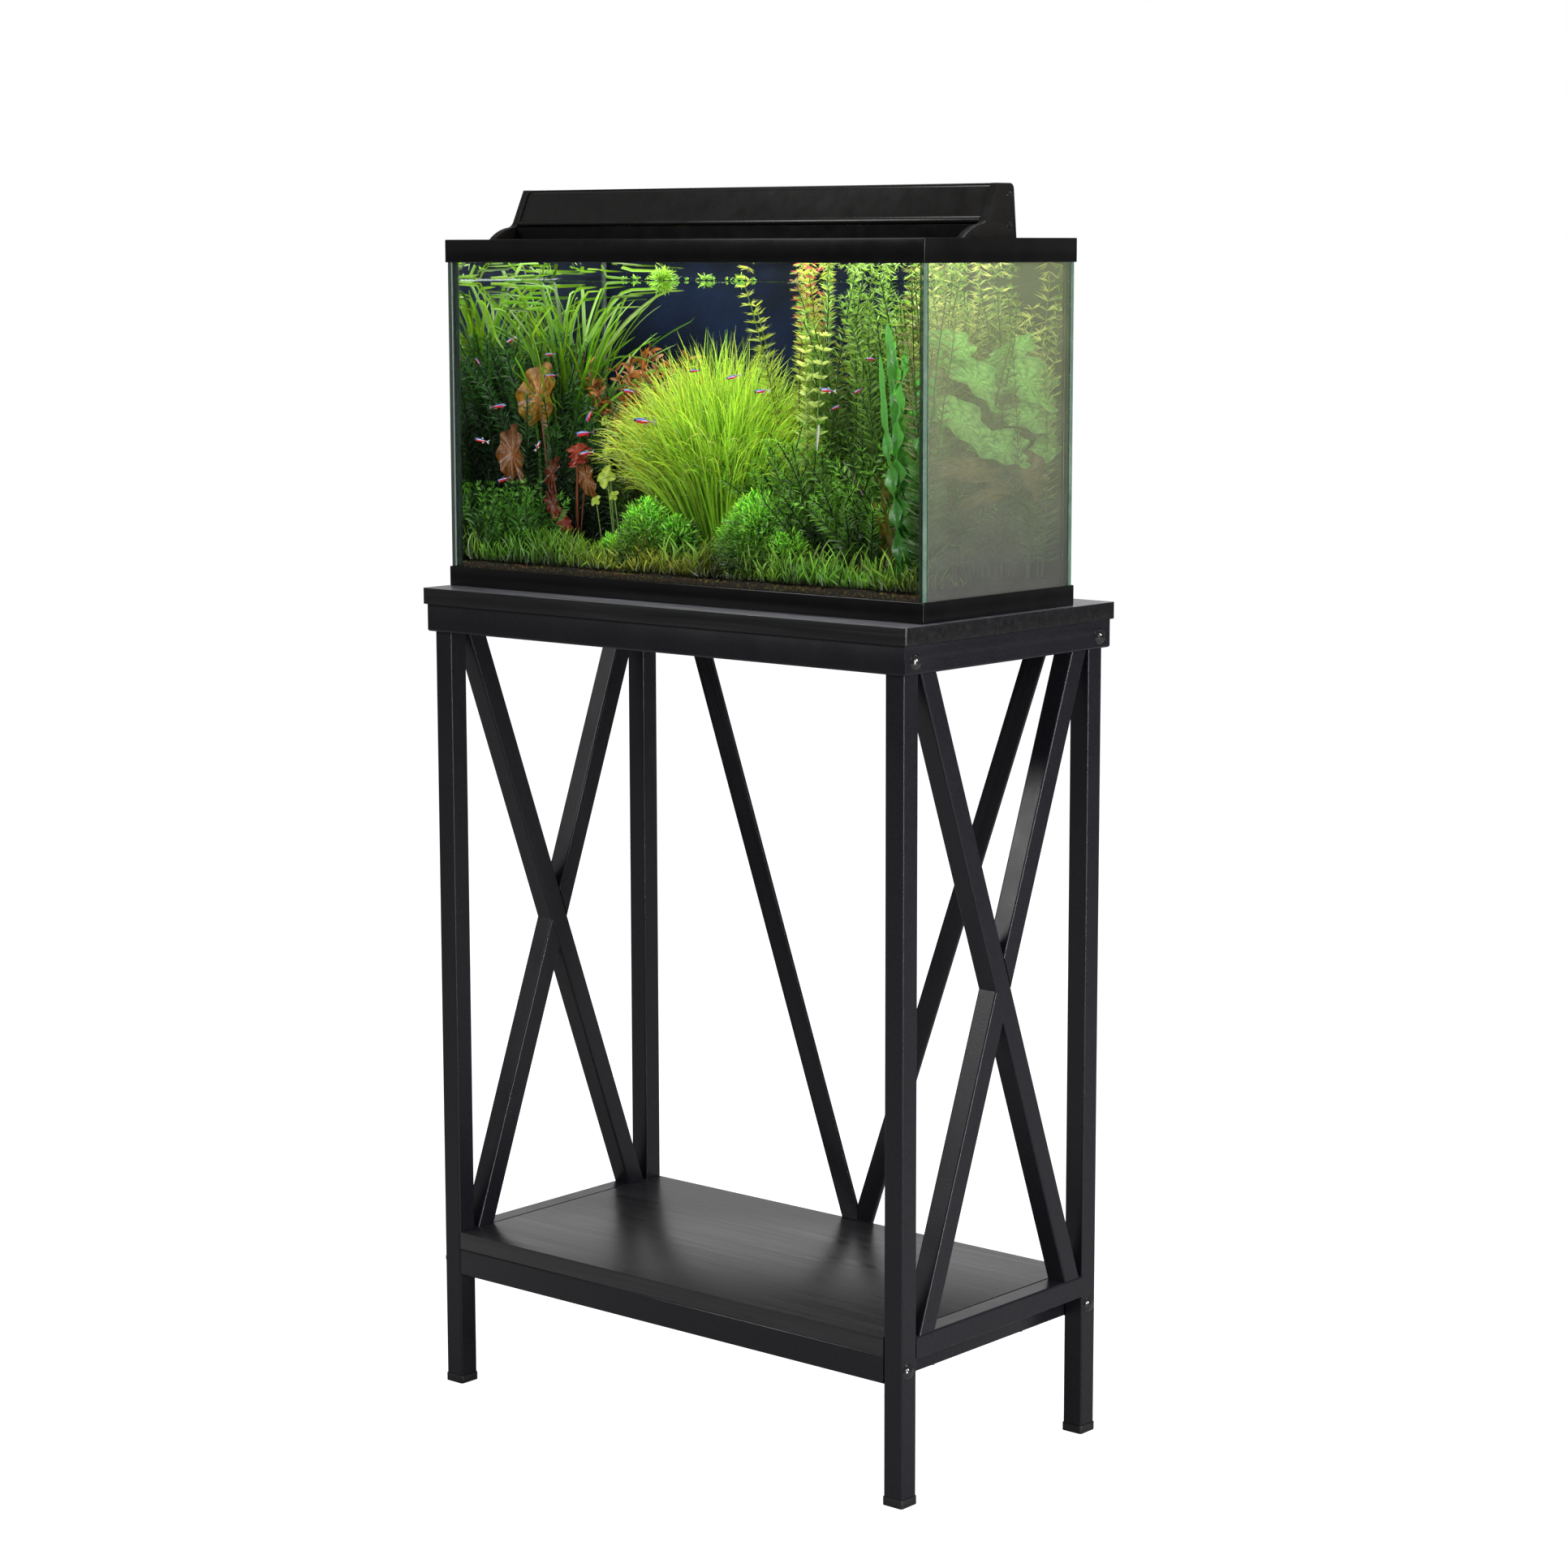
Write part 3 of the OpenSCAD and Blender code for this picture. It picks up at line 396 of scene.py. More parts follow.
# how far the edges are rounded, and in how many steps
ROUNDED = {(0.0016, 3): ["top_board"], (0.0013, 3): ["tank_top_rim"], (0.0012, 3): ["tank_base_frame"],
    (0.0010, 3): ["apron_front", "apron_back", "apron_left", "apron_right", "hood_end_left",
    "hood_end_right"], (0.0010, 2): ["shelf_board"], (0.0007, 2): ["led_driver"],
    (0.0006, 2): ["hood_cover"], (0.0005, 2): ["back_strap_left", "back_strap_right", "switch_body",
    "foot_caps"], (0.0004, 2): ["shelf_rail_front", "shelf_rail_back", "shelf_rail_left",
    "shelf_rail_right", "hood_deck", "front_flap", "switch_rocker"], (0.0002, 1): ["led_reflector"]}
BEVELS = {node: bevel for bevel, nodes in ROUNDED.items() for node in nodes}
PLANTS = ["plants_left", "plants_center", "plants_right", "plants_front", "soil_bed"]
# the shelf board: the same black grain as the top board, but lighter, as painted sheen on it
SHELF_SHEEN = black_board("shelf_grain_and_sheen", 1.0, 1.3, 0.7)
# the top board's upper face: the board's black grain made nine times lighter, as painted sheen
BOARD_TOP_SHEEN = black_board("board_top_grain_and_sheen", 1.0, 9.0, 0.6)
# matt near-black as painted shade: the hood deck in the recess under the lip, the reflector's front, and the
# flap's back and underside
SHADE_BLACK = MATS["deck_plastic"]
REFLECTOR_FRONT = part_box("led_reflector")[0].y + 0.0003
# nodes with painted light on some faces: painted sheen on the top board's upper face, painted shade on the
# reflector's front and on the flap's back and underside; the material, and 1 for a face that has it
PAINTED_FACES = {
    # painted sheen: the lighter grain on the top board's upper face
    "top_board": (BOARD_TOP_SHEEN, lambda f: 1 if f.normal.z > 0.9 else 0),
    "led_reflector": (SHADE_BLACK, lambda f: 1 if f.calc_center_median().y < REFLECTOR_FRONT else 0),
    "front_flap": (SHADE_BLACK, lambda f: 1 if f.normal.y > 0.25 or f.normal.z < -0.6 else 0),
}
for name, cad in frame["nodes"].items():
    slot = NODE_SLOT[name]
    if name in PAINTED_FACES:
        other, pick = PAINTED_FACES[name]
        eased(name, slot, *BEVELS[name], [MATS[slot], other], pick)
    elif name in BEVELS:
        # the hood deck is made matt near-black as painted shade in the recess under the lip
        eased(name, slot, *BEVELS[name], mats={"shelf_board": [SHELF_SHEEN], "hood_deck": [SHADE_BLACK]}.get(name))
    elif name.startswith("glass_"):
        glass_pane(name, slot)
    elif name not in PLANTS:
        cad.data.materials.clear()
        cad.data.materials.append(MATS["black_bolt" if name == "hood_screws" else slot])


# ---------- the planted tank
glass_lo, glass_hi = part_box("glass_front")
soil_lo, soil_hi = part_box("soil_bed")
rim_lo, rim_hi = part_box("tank_top_rim")
MID_X = (glass_lo.x + glass_hi.x) / 2
FRONT_Y = glass_hi.y
BACK_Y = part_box("background_sheet")[0].y
SOIL_Z = soil_hi.z
HALF_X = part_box("glass_right")[0].x - MID_X
WATER_Z = rim_hi.z - 0.0355
GAP = 0.0015  # between the plants and the glass
INSIDE_LO = np.array([MID_X - HALF_X + GAP, FRONT_Y + GAP, SOIL_Z - 0.004])
UP = np.array([0, 0, 1.0])
INSIDE_HI = np.array([MID_X + HALF_X - GAP, BACK_Y - GAP, WATER_Z - 0.0005])


def at(x, d, h):
    """A place in the tank: millimetres right of its middle, behind the front pane and above the soil."""
    return np.array([MID_X + x / 1000, FRONT_Y + d / 1000, SOIL_Z + h / 1000])


class Build:
    """Gathers quads with a colour at each corner, and makes one piece of them."""

    def __init__(self):
        self.v, self.f, self.c, self.n = [], [], [], 0

    def grids(self, pts, cols):
        """pts (N, rows, columns, 3): N sheets of quads."""
        n, r, k, _ = pts.shape
        idx = np.arange(r * k).reshape(r, k)
        quad = np.stack([idx[:-1, :-1], idx[:-1, 1:], idx[1:, 1:], idx[1:, :-1]], -1).reshape(-1, 4)
        faces = (quad[None] + (np.arange(n) * r * k)[:, None, None]).reshape(-1, 4) + self.n
        self.v.append(pts.reshape(-1, 3))
        self.c.append(np.broadcast_to(cols, pts.shape).reshape(-1, 3))
        self.f.append(faces)
        self.n += n * r * k

    def painted_surface_mirror(self, plane, reach, keep=1.0):
        """Leaf tips just under the water are mirrored just over it and a little darker: a painted reflection
        of them in the water surface.
        """
        v, f, c = np.concatenate(self.v), np.concatenate(self.f), np.concatenate(self.c)
        zmin, zmax = v[f][:, :, 2].min(1), v[f][:, :, 2].max(1)
        pick = f[(zmin > plane - reach) & (zmax <= plane + 0.0002)]
        pick = pick[rng.random(len(pick)) < keep]
        used, flat = np.unique(pick, return_inverse=True)
        w = v[used].copy()
        w[:, 2] = 2 * plane - w[:, 2] + 0.0006
        self.v.append(w)
        self.c.append(c[used] * 0.9)
        self.f.append(flat.reshape(-1, 4) + self.n)
        self.n += len(w)

    def make(self, name, mat, slot, nodes=(), clip=True, body="stand"):
        v, f, c = np.concatenate(self.v), np.concatenate(self.f), np.concatenate(self.c)
        if clip:
            v[:, :2] = np.clip(v[:, :2], INSIDE_LO[:2], INSIDE_HI[:2])
            v[:, 2] = np.clip(v[:, 2], INSIDE_LO[2], rim_lo.z + 0.006)
        mesh = bpy.data.meshes.new(name)
        mesh.vertices.add(len(v))
        mesh.vertices.foreach_set("co", v.astype(np.float32).ravel())
        mesh.loops.add(len(f) * 4)
        mesh.loops.foreach_set("vertex_index", f.astype(np.int32).ravel())
        mesh.polygons.add(len(f))
        mesh.polygons.foreach_set("loop_start", np.arange(0, len(f) * 4, 4, dtype=np.int32))
        mesh.polygons.foreach_set("use_smooth", np.ones(len(f), bool))
        mesh.update(calc_edges=True)
        mesh.validate()
        layer = mesh.color_attributes.new("Col", "FLOAT_COLOR", "POINT")
        layer.data.foreach_set("color", np.concatenate([c, np.ones((len(c), 1))],
            1).astype(np.float32).ravel())
        o = placed(name, mesh)
        return finish_piece(o, body, [mat], slot, list(nodes))


def unit(v):
    return v / np.maximum(np.linalg.norm(v, axis=-1, keepdims=True), 1e-9)


def rgb(r, g, b):
    """A colour as seen, 0-255, turned into light values."""
    c = np.array([r, g, b]) / 255
    return np.where(c <= 0.04045, c / 12.92, ((c + 0.055) / 1.055) ** 2.4)


def paths(base, direction, length, bend, n, power=1.5, ceiling=None):
    """Centre lines of N blades: start, first direction, length and the pull that bends them. (N, n, 3)"""
    t = np.linspace(0, 1, n)[None, :, None]
    d = unit(direction[:, None, :] + bend[:, None, :] * t ** power)
    step = length[:, None, None] / (n - 1)
    p = base[:, None, :] + np.concatenate([np.zeros((len(base), 1, 3)), np.cumsum(d[:, :-1] * step, 1)], 1)
    if ceiling is not None:
        over = p[:, :, 2] - ceiling[:, None]
        p[:, :, 2] = np.where(over > 0, ceiling[:, None] + over * 0.04, p[:, :, 2])
    return p


def line_between(a, b, n):
    """A straight centre line of n points from a to b: (1, n, 3)."""
    t = np.linspace(0, 1, n)[None, :, None]
    return a[None, None] * (1 - t) + b[None, None] * t


def ribbons(b, p, width, cols, turn, shape=0.6, fold=0.25, across=3, wave=None):
    """Lays leaves along centre lines p. cols (N, n, 3), turn (N) is the leaf's turn about its own line."""
    n = p.shape[1]
    d = unit(np.gradient(p, axis=1))
    ref = np.stack([np.cos(turn), np.sin(turn), np.zeros_like(turn)], -1)[:, None, :]
    side = unit(np.cross(d, np.broadcast_to(ref, d.shape)))
    up = np.cross(side, d)
    t = np.linspace(0, 1, n)[None, :]
    w = width[:, None] * np.clip(np.minimum(1, t / 0.08 + 0.35) * (1 - t) ** shape, 0.04, 1)
    s = np.linspace(-1, 1, across)
    across_leaf = side[:, :, None, :] * (w[:, :, None] * s)[..., None] / 2
    pts = p[:, :, None, :] + across_leaf + up[:, :, None, :] * (w[:, :, None] * np.abs(s) * fold)[..., None]
    if wave is not None:
        amp, waves, phase = wave
        ripple = np.sin(t[:, :, None] * waves * 2 * math.pi + phase[:, None, None] + s * 1.1)
        pts = pts + up[:, :, None, :] * (ripple * np.abs(s) * (w[:, :, None] * amp))[..., None]
    b.grids(pts, cols[:, :, None, :] * (1 - 0.18 * (1 - np.abs(s)))[None, None, :, None])


def shade(n, k, low, high, jitter=0.15, power=1.0):
    """Colours that run from low at the root to high at the tip, and vary between leaves: (n, k, 3)."""
    t = np.linspace(0, 1, k)[None, :, None] ** power
    c = np.array(low) * (1 - t) + np.array(high) * t
    c = c * (1 + jitter * rng.standard_normal((n, 1, 1)))
    return c * (1 + 0.3 * jitter * rng.standard_normal((n, 1, 3)))


def around(n):
    a = rng.uniform(0, 2 * math.pi, n)
    return np.stack([np.cos(a), np.sin(a), np.zeros(n)], -1)


def turns(n):
    """n random turns of a leaf about its own line."""
    return rng.uniform(0, 6.28, n)


def tubes(b, p, radius, cols, sides=5):
    """Thin round stems along centre lines p (N, n, 3)."""
    d = unit(np.gradient(p, axis=1))
    ref = np.broadcast_to(np.array([0.83, 0.55, 0.1]), d.shape)
    u = unit(np.cross(d, ref))
    v = np.cross(d, u)
    a = np.linspace(0, 2 * math.pi, sides + 1)
    ring = u[:, :, None, :] * np.cos(a)[:, None] + v[:, :, None, :] * np.sin(a)[:, None]
    b.grids(p[:, :, None, :] + ring * radius[:, None, None, None], cols[:, :, None, :])


def sample(p, t):
    """Points and directions at parameters t (m,) along centre lines p (N, n, 3): (N, m, 3) each."""
    n = p.shape[1]
    x = t * (n - 1)
    i = np.clip(x.astype(int), 0, n - 2)
    w = (x - i)[None, :, None]
    return p[:, i] * (1 - w) + p[:, i + 1] * w, unit(p[:, i + 1] - p[:, i])


def needle_stems(b, base, direction, length, bend, whorls, per, reach, width, low, high, lift=0.55, droop=0.5,
        jitter=0.2, stem=None, seg=3):
    """Stems with a ring of fine leaves every few millimetres."""
    n = len(base)
    p = paths(base, direction, length, bend, 14)
    tubes(b, p, np.full(n, 0.0005), shade(n, 14, stem if stem is not None else low, low, 0.1), 4)
    q, d = sample(p, np.linspace(0.06, 1, whorls))
    q, d = np.repeat(q.reshape(-1, 3), per, 0), np.repeat(d.reshape(-1, 3), per, 0)
    m = len(q)
    out = unit(np.cross(d, around(m) + 0.3 * rng.standard_normal((m, 3))))
    go = unit(out + d * lift + 0.12 * rng.standard_normal((m, 3)))
    t = np.tile(np.repeat(np.linspace(0.06, 1, whorls), per), n)
    size = reach * (1.0 - 0.45 * t ** 3) * rng.uniform(0.75, 1.15, m)
    line = paths(q, go, size, np.tile([0, 0, -droop], (m, 1)) * rng.uniform(0, 1.4, (m, 1)), seg)
    mix = (t ** 1.4)[:, None, None]
    cols = (np.array(low) * (1 - mix) + np.array(high) * mix) * (1 + jitter * rng.standard_normal((m, 1, 1)))
    cols = np.clip(np.broadcast_to(cols, (m, seg, 3)) * np.linspace(0.75, 1.2, seg)[None, :, None], 0.002, 1)
    ribbons(b, line, np.full(m, width), cols, turns(m), 0.5, 0.0, 2)


LEAF = leaf("leaf")
BROAD = leaf("broad_leaf", 0.3, 0.35, 0.4, 350)


def disc(n, x, d, rx, rd, h=0.0):
    """n places in an oval on the soil."""
    a, r = rng.uniform(0, 2 * math.pi, n), np.sqrt(rng.random(n))
    return np.stack([at(x + rx * math.cos(i) * k, d + rd * math.sin(i) * k, h) for i, k in zip(a, r)])


def ups(n, spread):
    return unit(UP + around(n) * np.abs(rng.normal(0, spread, (n, 1))))


def ribbon_leaves():
    """Ribbon leaves that rise at the left and trail under the surface."""
    b = Build()
    n = 96
    base = disc(n, -206, 84, 16, 30)
    lean = around(n) * rng.uniform(0.3, 1.0, (n, 1))
    length = rng.uniform(0.21, 0.33, n) * (1 - 0.17 * np.clip(lean[:, 0], 0, 1))
    p = paths(base, unit(UP + lean * 0.1), length, lean * 3.0 + np.array([0.1, -0.3, 0]),
        26, 3.2, WATER_Z - rng.uniform(0.001, 0.026, n))
    ribbons(b, p, rng.uniform(0.0030, 0.0052, n), shade(n, 26, rgb(18, 54, 8), rgb(116, 164, 22), 0.3, 1.1),
        turns(n), 0.35, 0.22)
    n = 27
    base = disc(n, -202, 78, 16, 28)
    lean = around(n) * 0.7 + np.array([0.12, 0, 0])
    p = paths(base, unit(UP + lean * 0.12), rng.uniform(0.17, 0.285, n),
        lean * 1.8 + np.array([0, 0, -1.9]), 22, 2.6)
    ribbons(b, p, rng.uniform(0.0026, 0.0044, n), shade(n, 22, rgb(20, 60, 8), rgb(94, 146, 22), 0.3),
        turns(n), 0.4, 0.2)
    # painted reflection of the leaf tips in the water surface
    b.painted_surface_mirror(WATER_Z, 0.016, 0.9)
    return b.make("ribbon_leaves", LEAF, "plant_green", ["plants_left"])


def needle_bush():
    """A dark, fine-leaved bush at the left, brighter low down in front."""
    b = Build()
    n = 132
    base = np.concatenate([disc(84, -236, 80, 22, 42), disc(n - 84, -186, 86, 36, 40)])
    length = rng.uniform(0.11, 0.16, n) + 0.045 * (np.arange(n) < 84)
    needle_stems(b, base, ups(n, 0.2), length, around(n) * 0.5 + np.array([0.15, -0.2, 0]), 32, 8, 0.0125,
        0.0012, rgb(8, 26, 6), rgb(44, 98, 22), 0.8, 0.5, 0.4)
    n = 64
    needle_stems(b, disc(n, -214, 26, 42, 20), ups(n, 0.35), rng.uniform(0.03, 0.075, n), around(n) * 0.6, 12,
        9, 0.010, 0.0014, rgb(18, 62, 10), rgb(92, 156, 42), 0.9, 0.5, 0.35)
    return b.make("needle_bush_left", LEAF, "plant_green")


def shaded_growth():
    """Fine growth left of the dome, and dim plants in the shade at the back."""
    b = Build()
    n = 18
    needle_stems(b, disc(n, -124, 92, 18, 24), ups(n, 0.22), rng.uniform(0.085, 0.125, n), around(n) * 0.5,
        26, 8, 0.012, 0.0012, rgb(18, 52, 10), rgb(104, 152, 46), 0.8, 0.5, 0.35)
    n = 34
    needle_stems(b, disc(n, -34, 176, 120, 7), ups(n, 0.18), rng.uniform(0.10, 0.19, n), around(n) * 0.5, 24,
        7, 0.013, 0.0016, rgb(10, 24, 24), rgb(30, 54, 46), 0.8, 0.5, 0.35)
    return b.make("shaded_growth", LEAF, "plant_green")


def hairgrass():
    """The dome of hairgrass in the middle, with short bent tips on some of its blades."""
    b = Build()
    n = 5200
    a, r = rng.uniform(0, 2 * math.pi, n), np.sqrt(rng.random(n))[:, None]
    out = np.stack([np.cos(a) * np.where(np.cos(a) < 0, 0.72, 1.0), 0.66 * np.sin(a), np.zeros(n)], -1)
    base = at(-36, 96, 0) + out * r * 0.030
    tilt = 0.68 * r
    dirs = unit(out * np.sin(tilt) + UP * np.cos(tilt)
        + 0.055 * rng.standard_normal((n, 3)))
    length = (0.206 - 0.062 * r[:, 0] ** 1.2) * rng.uniform(0.6, 1.03, n) ** 0.7
    bend = out * (0.2 + 0.5 * r) + around(n) * 0.45
    bend = bend - UP * rng.uniform(0, 1.5, (n, 1)) * (0.2 + r)
    p = paths(base, dirs, length, bend, 13, 4.0)
    warm = np.clip(-out[:, :1] * r * 1.2 + 0.25 * rng.standard_normal((n, 1)), 0, 1)[:, :, None]
    # painted light: blades towards the dome's right edge up to 65% brighter
    lit_side = 1 + 0.65 * np.clip(out[:, :1] * r, 0, 1)[:, :, None]
    gold = 1 + warm * (np.array([0.55, -0.06, 0.1]) * np.linspace(0.3, 1, 13)[:, None])
    cols = shade(n, 13, rgb(104, 164, 44), rgb(176, 214, 66), 0.3, 0.8) * lit_side * gold
    ribbons(b, p, rng.uniform(0.0010, 0.0017, n), np.clip(cols, 0.003, 1), turns(n), 0.35, 0.0, 2)
    m = 1900
    pick, k = rng.integers(0, n, m), rng.integers(5, 11, m)
    p = paths(p[pick, k], unit(dirs[pick] + around(m) * 0.5), rng.uniform(0.014, 0.034, m),
          around(m) * 1.1 + np.array([0, -0.3, -1.5]) * rng.uniform(0.4, 1.4, (m, 1)), 9, 1.6)
    ribbons(b, p, rng.uniform(0.0008, 0.0013, m), shade(m, 9, rgb(110, 156, 34), rgb(208, 222, 116), 0.25,
        1.2), turns(m), 0.4, 0.0, 2)
    return b.make("hairgrass", leaf("grass_leaf", 0.35, 0.4, 0.2, 900), "grass_green", ["plants_center"])


def orange_stems():
    """Orange stems behind the dome."""
    b = Build()
    n = 46
    base = disc(n, -146, 116, 44, 22)
    p = paths(base, ups(n, 0.16), rng.uniform(0.135, 0.185, n), around(n) * 0.4, 14)
    tubes(b, p, np.full(n, 0.0006), shade(n, 14, rgb(90, 80, 30), rgb(190, 110, 70), 0.1), 4)
    q, d = sample(p, np.linspace(0.35, 1, 13))
    q, d = np.repeat(q.reshape(-1, 3), 4, 0), np.repeat(d.reshape(-1, 3), 4, 0)
    m = len(q)
    go = unit(np.cross(d, around(m)) + d * 0.7)
    line = paths(q, go, rng.uniform(0.007, 0.013, m), np.tile([0, 0, -0.5], (m, 1)), 5)
    ribbons(b, line, rng.uniform(0.0028, 0.0042, m), shade(m, 5, rgb(112, 74, 24), rgb(196, 118, 50), 0.3),
        turns(m), 0.5, 0.15)
    return b.make("orange_stems", LEAF, "plant_green")


def whorled_stems():
    """Whorled stems, with a pink top among them and three pale stems in front."""
    b = Build()
    n = 18
    base = disc(n, 46, 128, 27, 20)
    needle_stems(b, base, ups(n, 0.08), rng.uniform(0.19, 0.25, n), around(n) * 0.25, 30, 14, 0.0145, 0.0010,
             rgb(58, 96, 14), rgb(170, 184, 60), 0.5, 0.4, 0.25, rgb(110, 90, 50), 4)
    n = 3
    needle_stems(b, disc(n, 34, 132, 8, 6, 168), ups(n, 0.1), rng.uniform(0.062, 0.078, n), around(n) * 0.2,
        10, 14, 0.0115, 0.0012, rgb(120, 80, 34), rgb(206, 96, 84), 0.4, 0.1, 0.2, rgb(150, 70, 60), 4)
    n = 3
    needle_stems(b, disc(n, 84, 68, 7, 5), ups(n, 0.04), rng.uniform(0.185, 0.2, n), around(n) * 0.12, 17, 7,
        0.0125, 0.0034, rgb(90, 150, 40), rgb(232, 244, 140), 0.5, 0.2, 0.1, rgb(190, 200, 150), 4)
    # painted reflection of the leaf tips in the water surface
    b.painted_surface_mirror(WATER_Z, 0.016)
    return b.make("whorled_stems", LEAF, "plant_green", ["plants_right"])


def feathery_stems():
    """The dense, feathery growth at the right, and paler stems along the right pane."""
    b = Build()
    n = 120
    base = disc(n, 158, 122, 94, 50)
    needle_stems(b, base, ups(n, 0.1), rng.uniform(0.18, 0.255, n), around(n) * 0.35, 34, 9, 0.013, 0.0013,
             rgb(26, 70, 10), rgb(122, 164, 52), 0.7, 0.5, 0.35)
    for n, x, d, rx, rd, tone in ((15, 218, 112, 14, 66, 1.0), (6, 238, 172, 8, 12, 1.15),
            (6, 251, 13, 3, 8, 0.5)):
        needle_stems(b, disc(n, x, d, rx, rd), ups(n, 0.06), rng.uniform(0.2, 0.25, n), around(n) * 0.2, 30,
            9, 0.019, 0.0013, rgb(70, 112, 44) * tone, rgb(212, 218, 120) * tone, 0.5, 0.3, 0.3)
    # painted reflection of the leaf tips in the water surface
    b.painted_surface_mirror(WATER_Z, 0.016)
    return b.make("feathery_stems_right", LEAF, "plant_green")


def low_bush():
    """The low bush at the right."""
    b = Build()
    n = 130
    base = disc(n, 126, 70, 82, 36)
    needle_stems(b, base, ups(n, 0.45), rng.uniform(0.06, 0.13, n), around(n) * 0.8 + np.array([0, -0.3, 0]),
        18, 9, 0.0115, 0.0013, rgb(9, 32, 6), rgb(118, 178, 54), 0.9, 0.5, 0.4)
    return b.make("low_bush_right", LEAF, "plant_green")


def round_leaf(b, centre, along, face, long, wide, lobes, colour, vein, ruffle, rings, spokes, notch=0.0):
    """A broad leaf blade: an oval sheet with a ruffled edge, and veins that spread from its stalk."""
    along, face = unit(np.array(along, float)), unit(np.array(face, float))
    side = unit(np.cross(along, face))
    face = np.cross(side, along)
    r = np.linspace(0.02, 1, rings)[:, None]
    a = np.linspace(-math.pi, math.pi, spokes + 1)[None, :]
    rim = 1 + 0.05 * np.sin(a * 7 + 1) - notch * np.exp(-((np.abs(a) - math.pi) / 0.3) ** 2)
    u, v = np.cos(a) * r * rim * long / 2, np.sin(a) * r * rim * wide / 2
    cup = 0.25 * wide * (r * np.sin(a)) ** 2 - 0.12 * long * (r * np.cos(a)) ** 2
    w = ruffle * r ** 2.5 * np.sin(a * lobes + 2 * r) + cup
    pts = np.array(centre) + u[..., None] * along + v[..., None] * side + w[..., None] * face
    rays = 1.25 * np.abs(np.sin((a + 0.08 * np.sin(r * 9)) * 7)) ** 0.8
    lines = np.clip(rays * (0.75 + 0.3 * np.sin(r * 31 + 3 * a)), 0, 1)
    cols = np.array(vein) * (1 - lines[..., None]) + np.array(colour) * lines[..., None]
    cols = cols * (0.95 - 0.3 * r[..., None])
    b.grids(pts[None], cols[None])


def wavy_leaves():
    """Broad wavy leaves in the right front corner and flat against the right pane, and old brown ones."""
    b = Build()
    n = 14
    base = np.concatenate([disc(5, 210, 56, 14, 22), disc(n - 5, 232, 22, 7, 9)])
    p = paths(base, ups(n, 0.08), rng.uniform(0.12, 0.215, n), around(n) * 0.22 + np.array([0.15, -0.1, 0]),
        34, 1.6)
    ribbons(b, p, rng.uniform(0.010, 0.019, n), shade(n, 34, rgb(34, 100, 24), rgb(116, 204, 84), 0.25),
        turns(n), 0.3, 0.12, 7, (0.5, 7, turns(n)))
    fresh, fresh_vein = rgb(190, 255, 140), rgb(74, 150, 52)
    old, old_vein = rgb(150, 128, 76), rgb(70, 58, 34)
    # place behind the front pane and above the soil, length, width, tilt in degrees, and 1 for a green leaf
    for d, h, long, wide, tilt, young in ((51, 191, 54, 19, -20, 1), (83, 162, 66, 25, -30, 1),
            (148, 160, 86, 32, -17, 1), (62, 130, 80, 27, -28, 1), (118, 108, 62, 25, -10, 1),
            (158, 130, 62, 22, -14, 1), (172, 106, 40, 18, 22, 1), (132, 189, 50, 14, 16, 1),
            (74, 92, 92, 17, -8, 0), (150, 86, 46, 28, -40, 0), (104, 74, 60, 12, 14, 0)):
        along = (0.08, math.cos(math.radians(tilt)), math.sin(math.radians(tilt)))
        colour, vein = (fresh, fresh_vein) if young else (old, old_vein)
        round_leaf(b, at(250.5 + 1.5 * math.sin(h), d, h), along, (1, -0.2, 0.35), long * 0.0012,
            wide * 0.0012, 9, colour, vein, 0.0034, 14, 48)
    n = 12
    base = disc(n, 205, 50, 22, 22)
    p = paths(base, ups(n, 0.3), rng.uniform(0.06, 0.11, n), around(n) * 0.7, 24, 1.6)
    ribbons(b, p, rng.uniform(0.006, 0.010, n), shade(n, 24, rgb(52, 50, 16), rgb(120, 108, 40), 0.14),
        turns(n), 0.3, 0.15, 5, (0.35, 6, turns(n)))
    return b.make("wavy_leaves", BROAD, "plant_green")


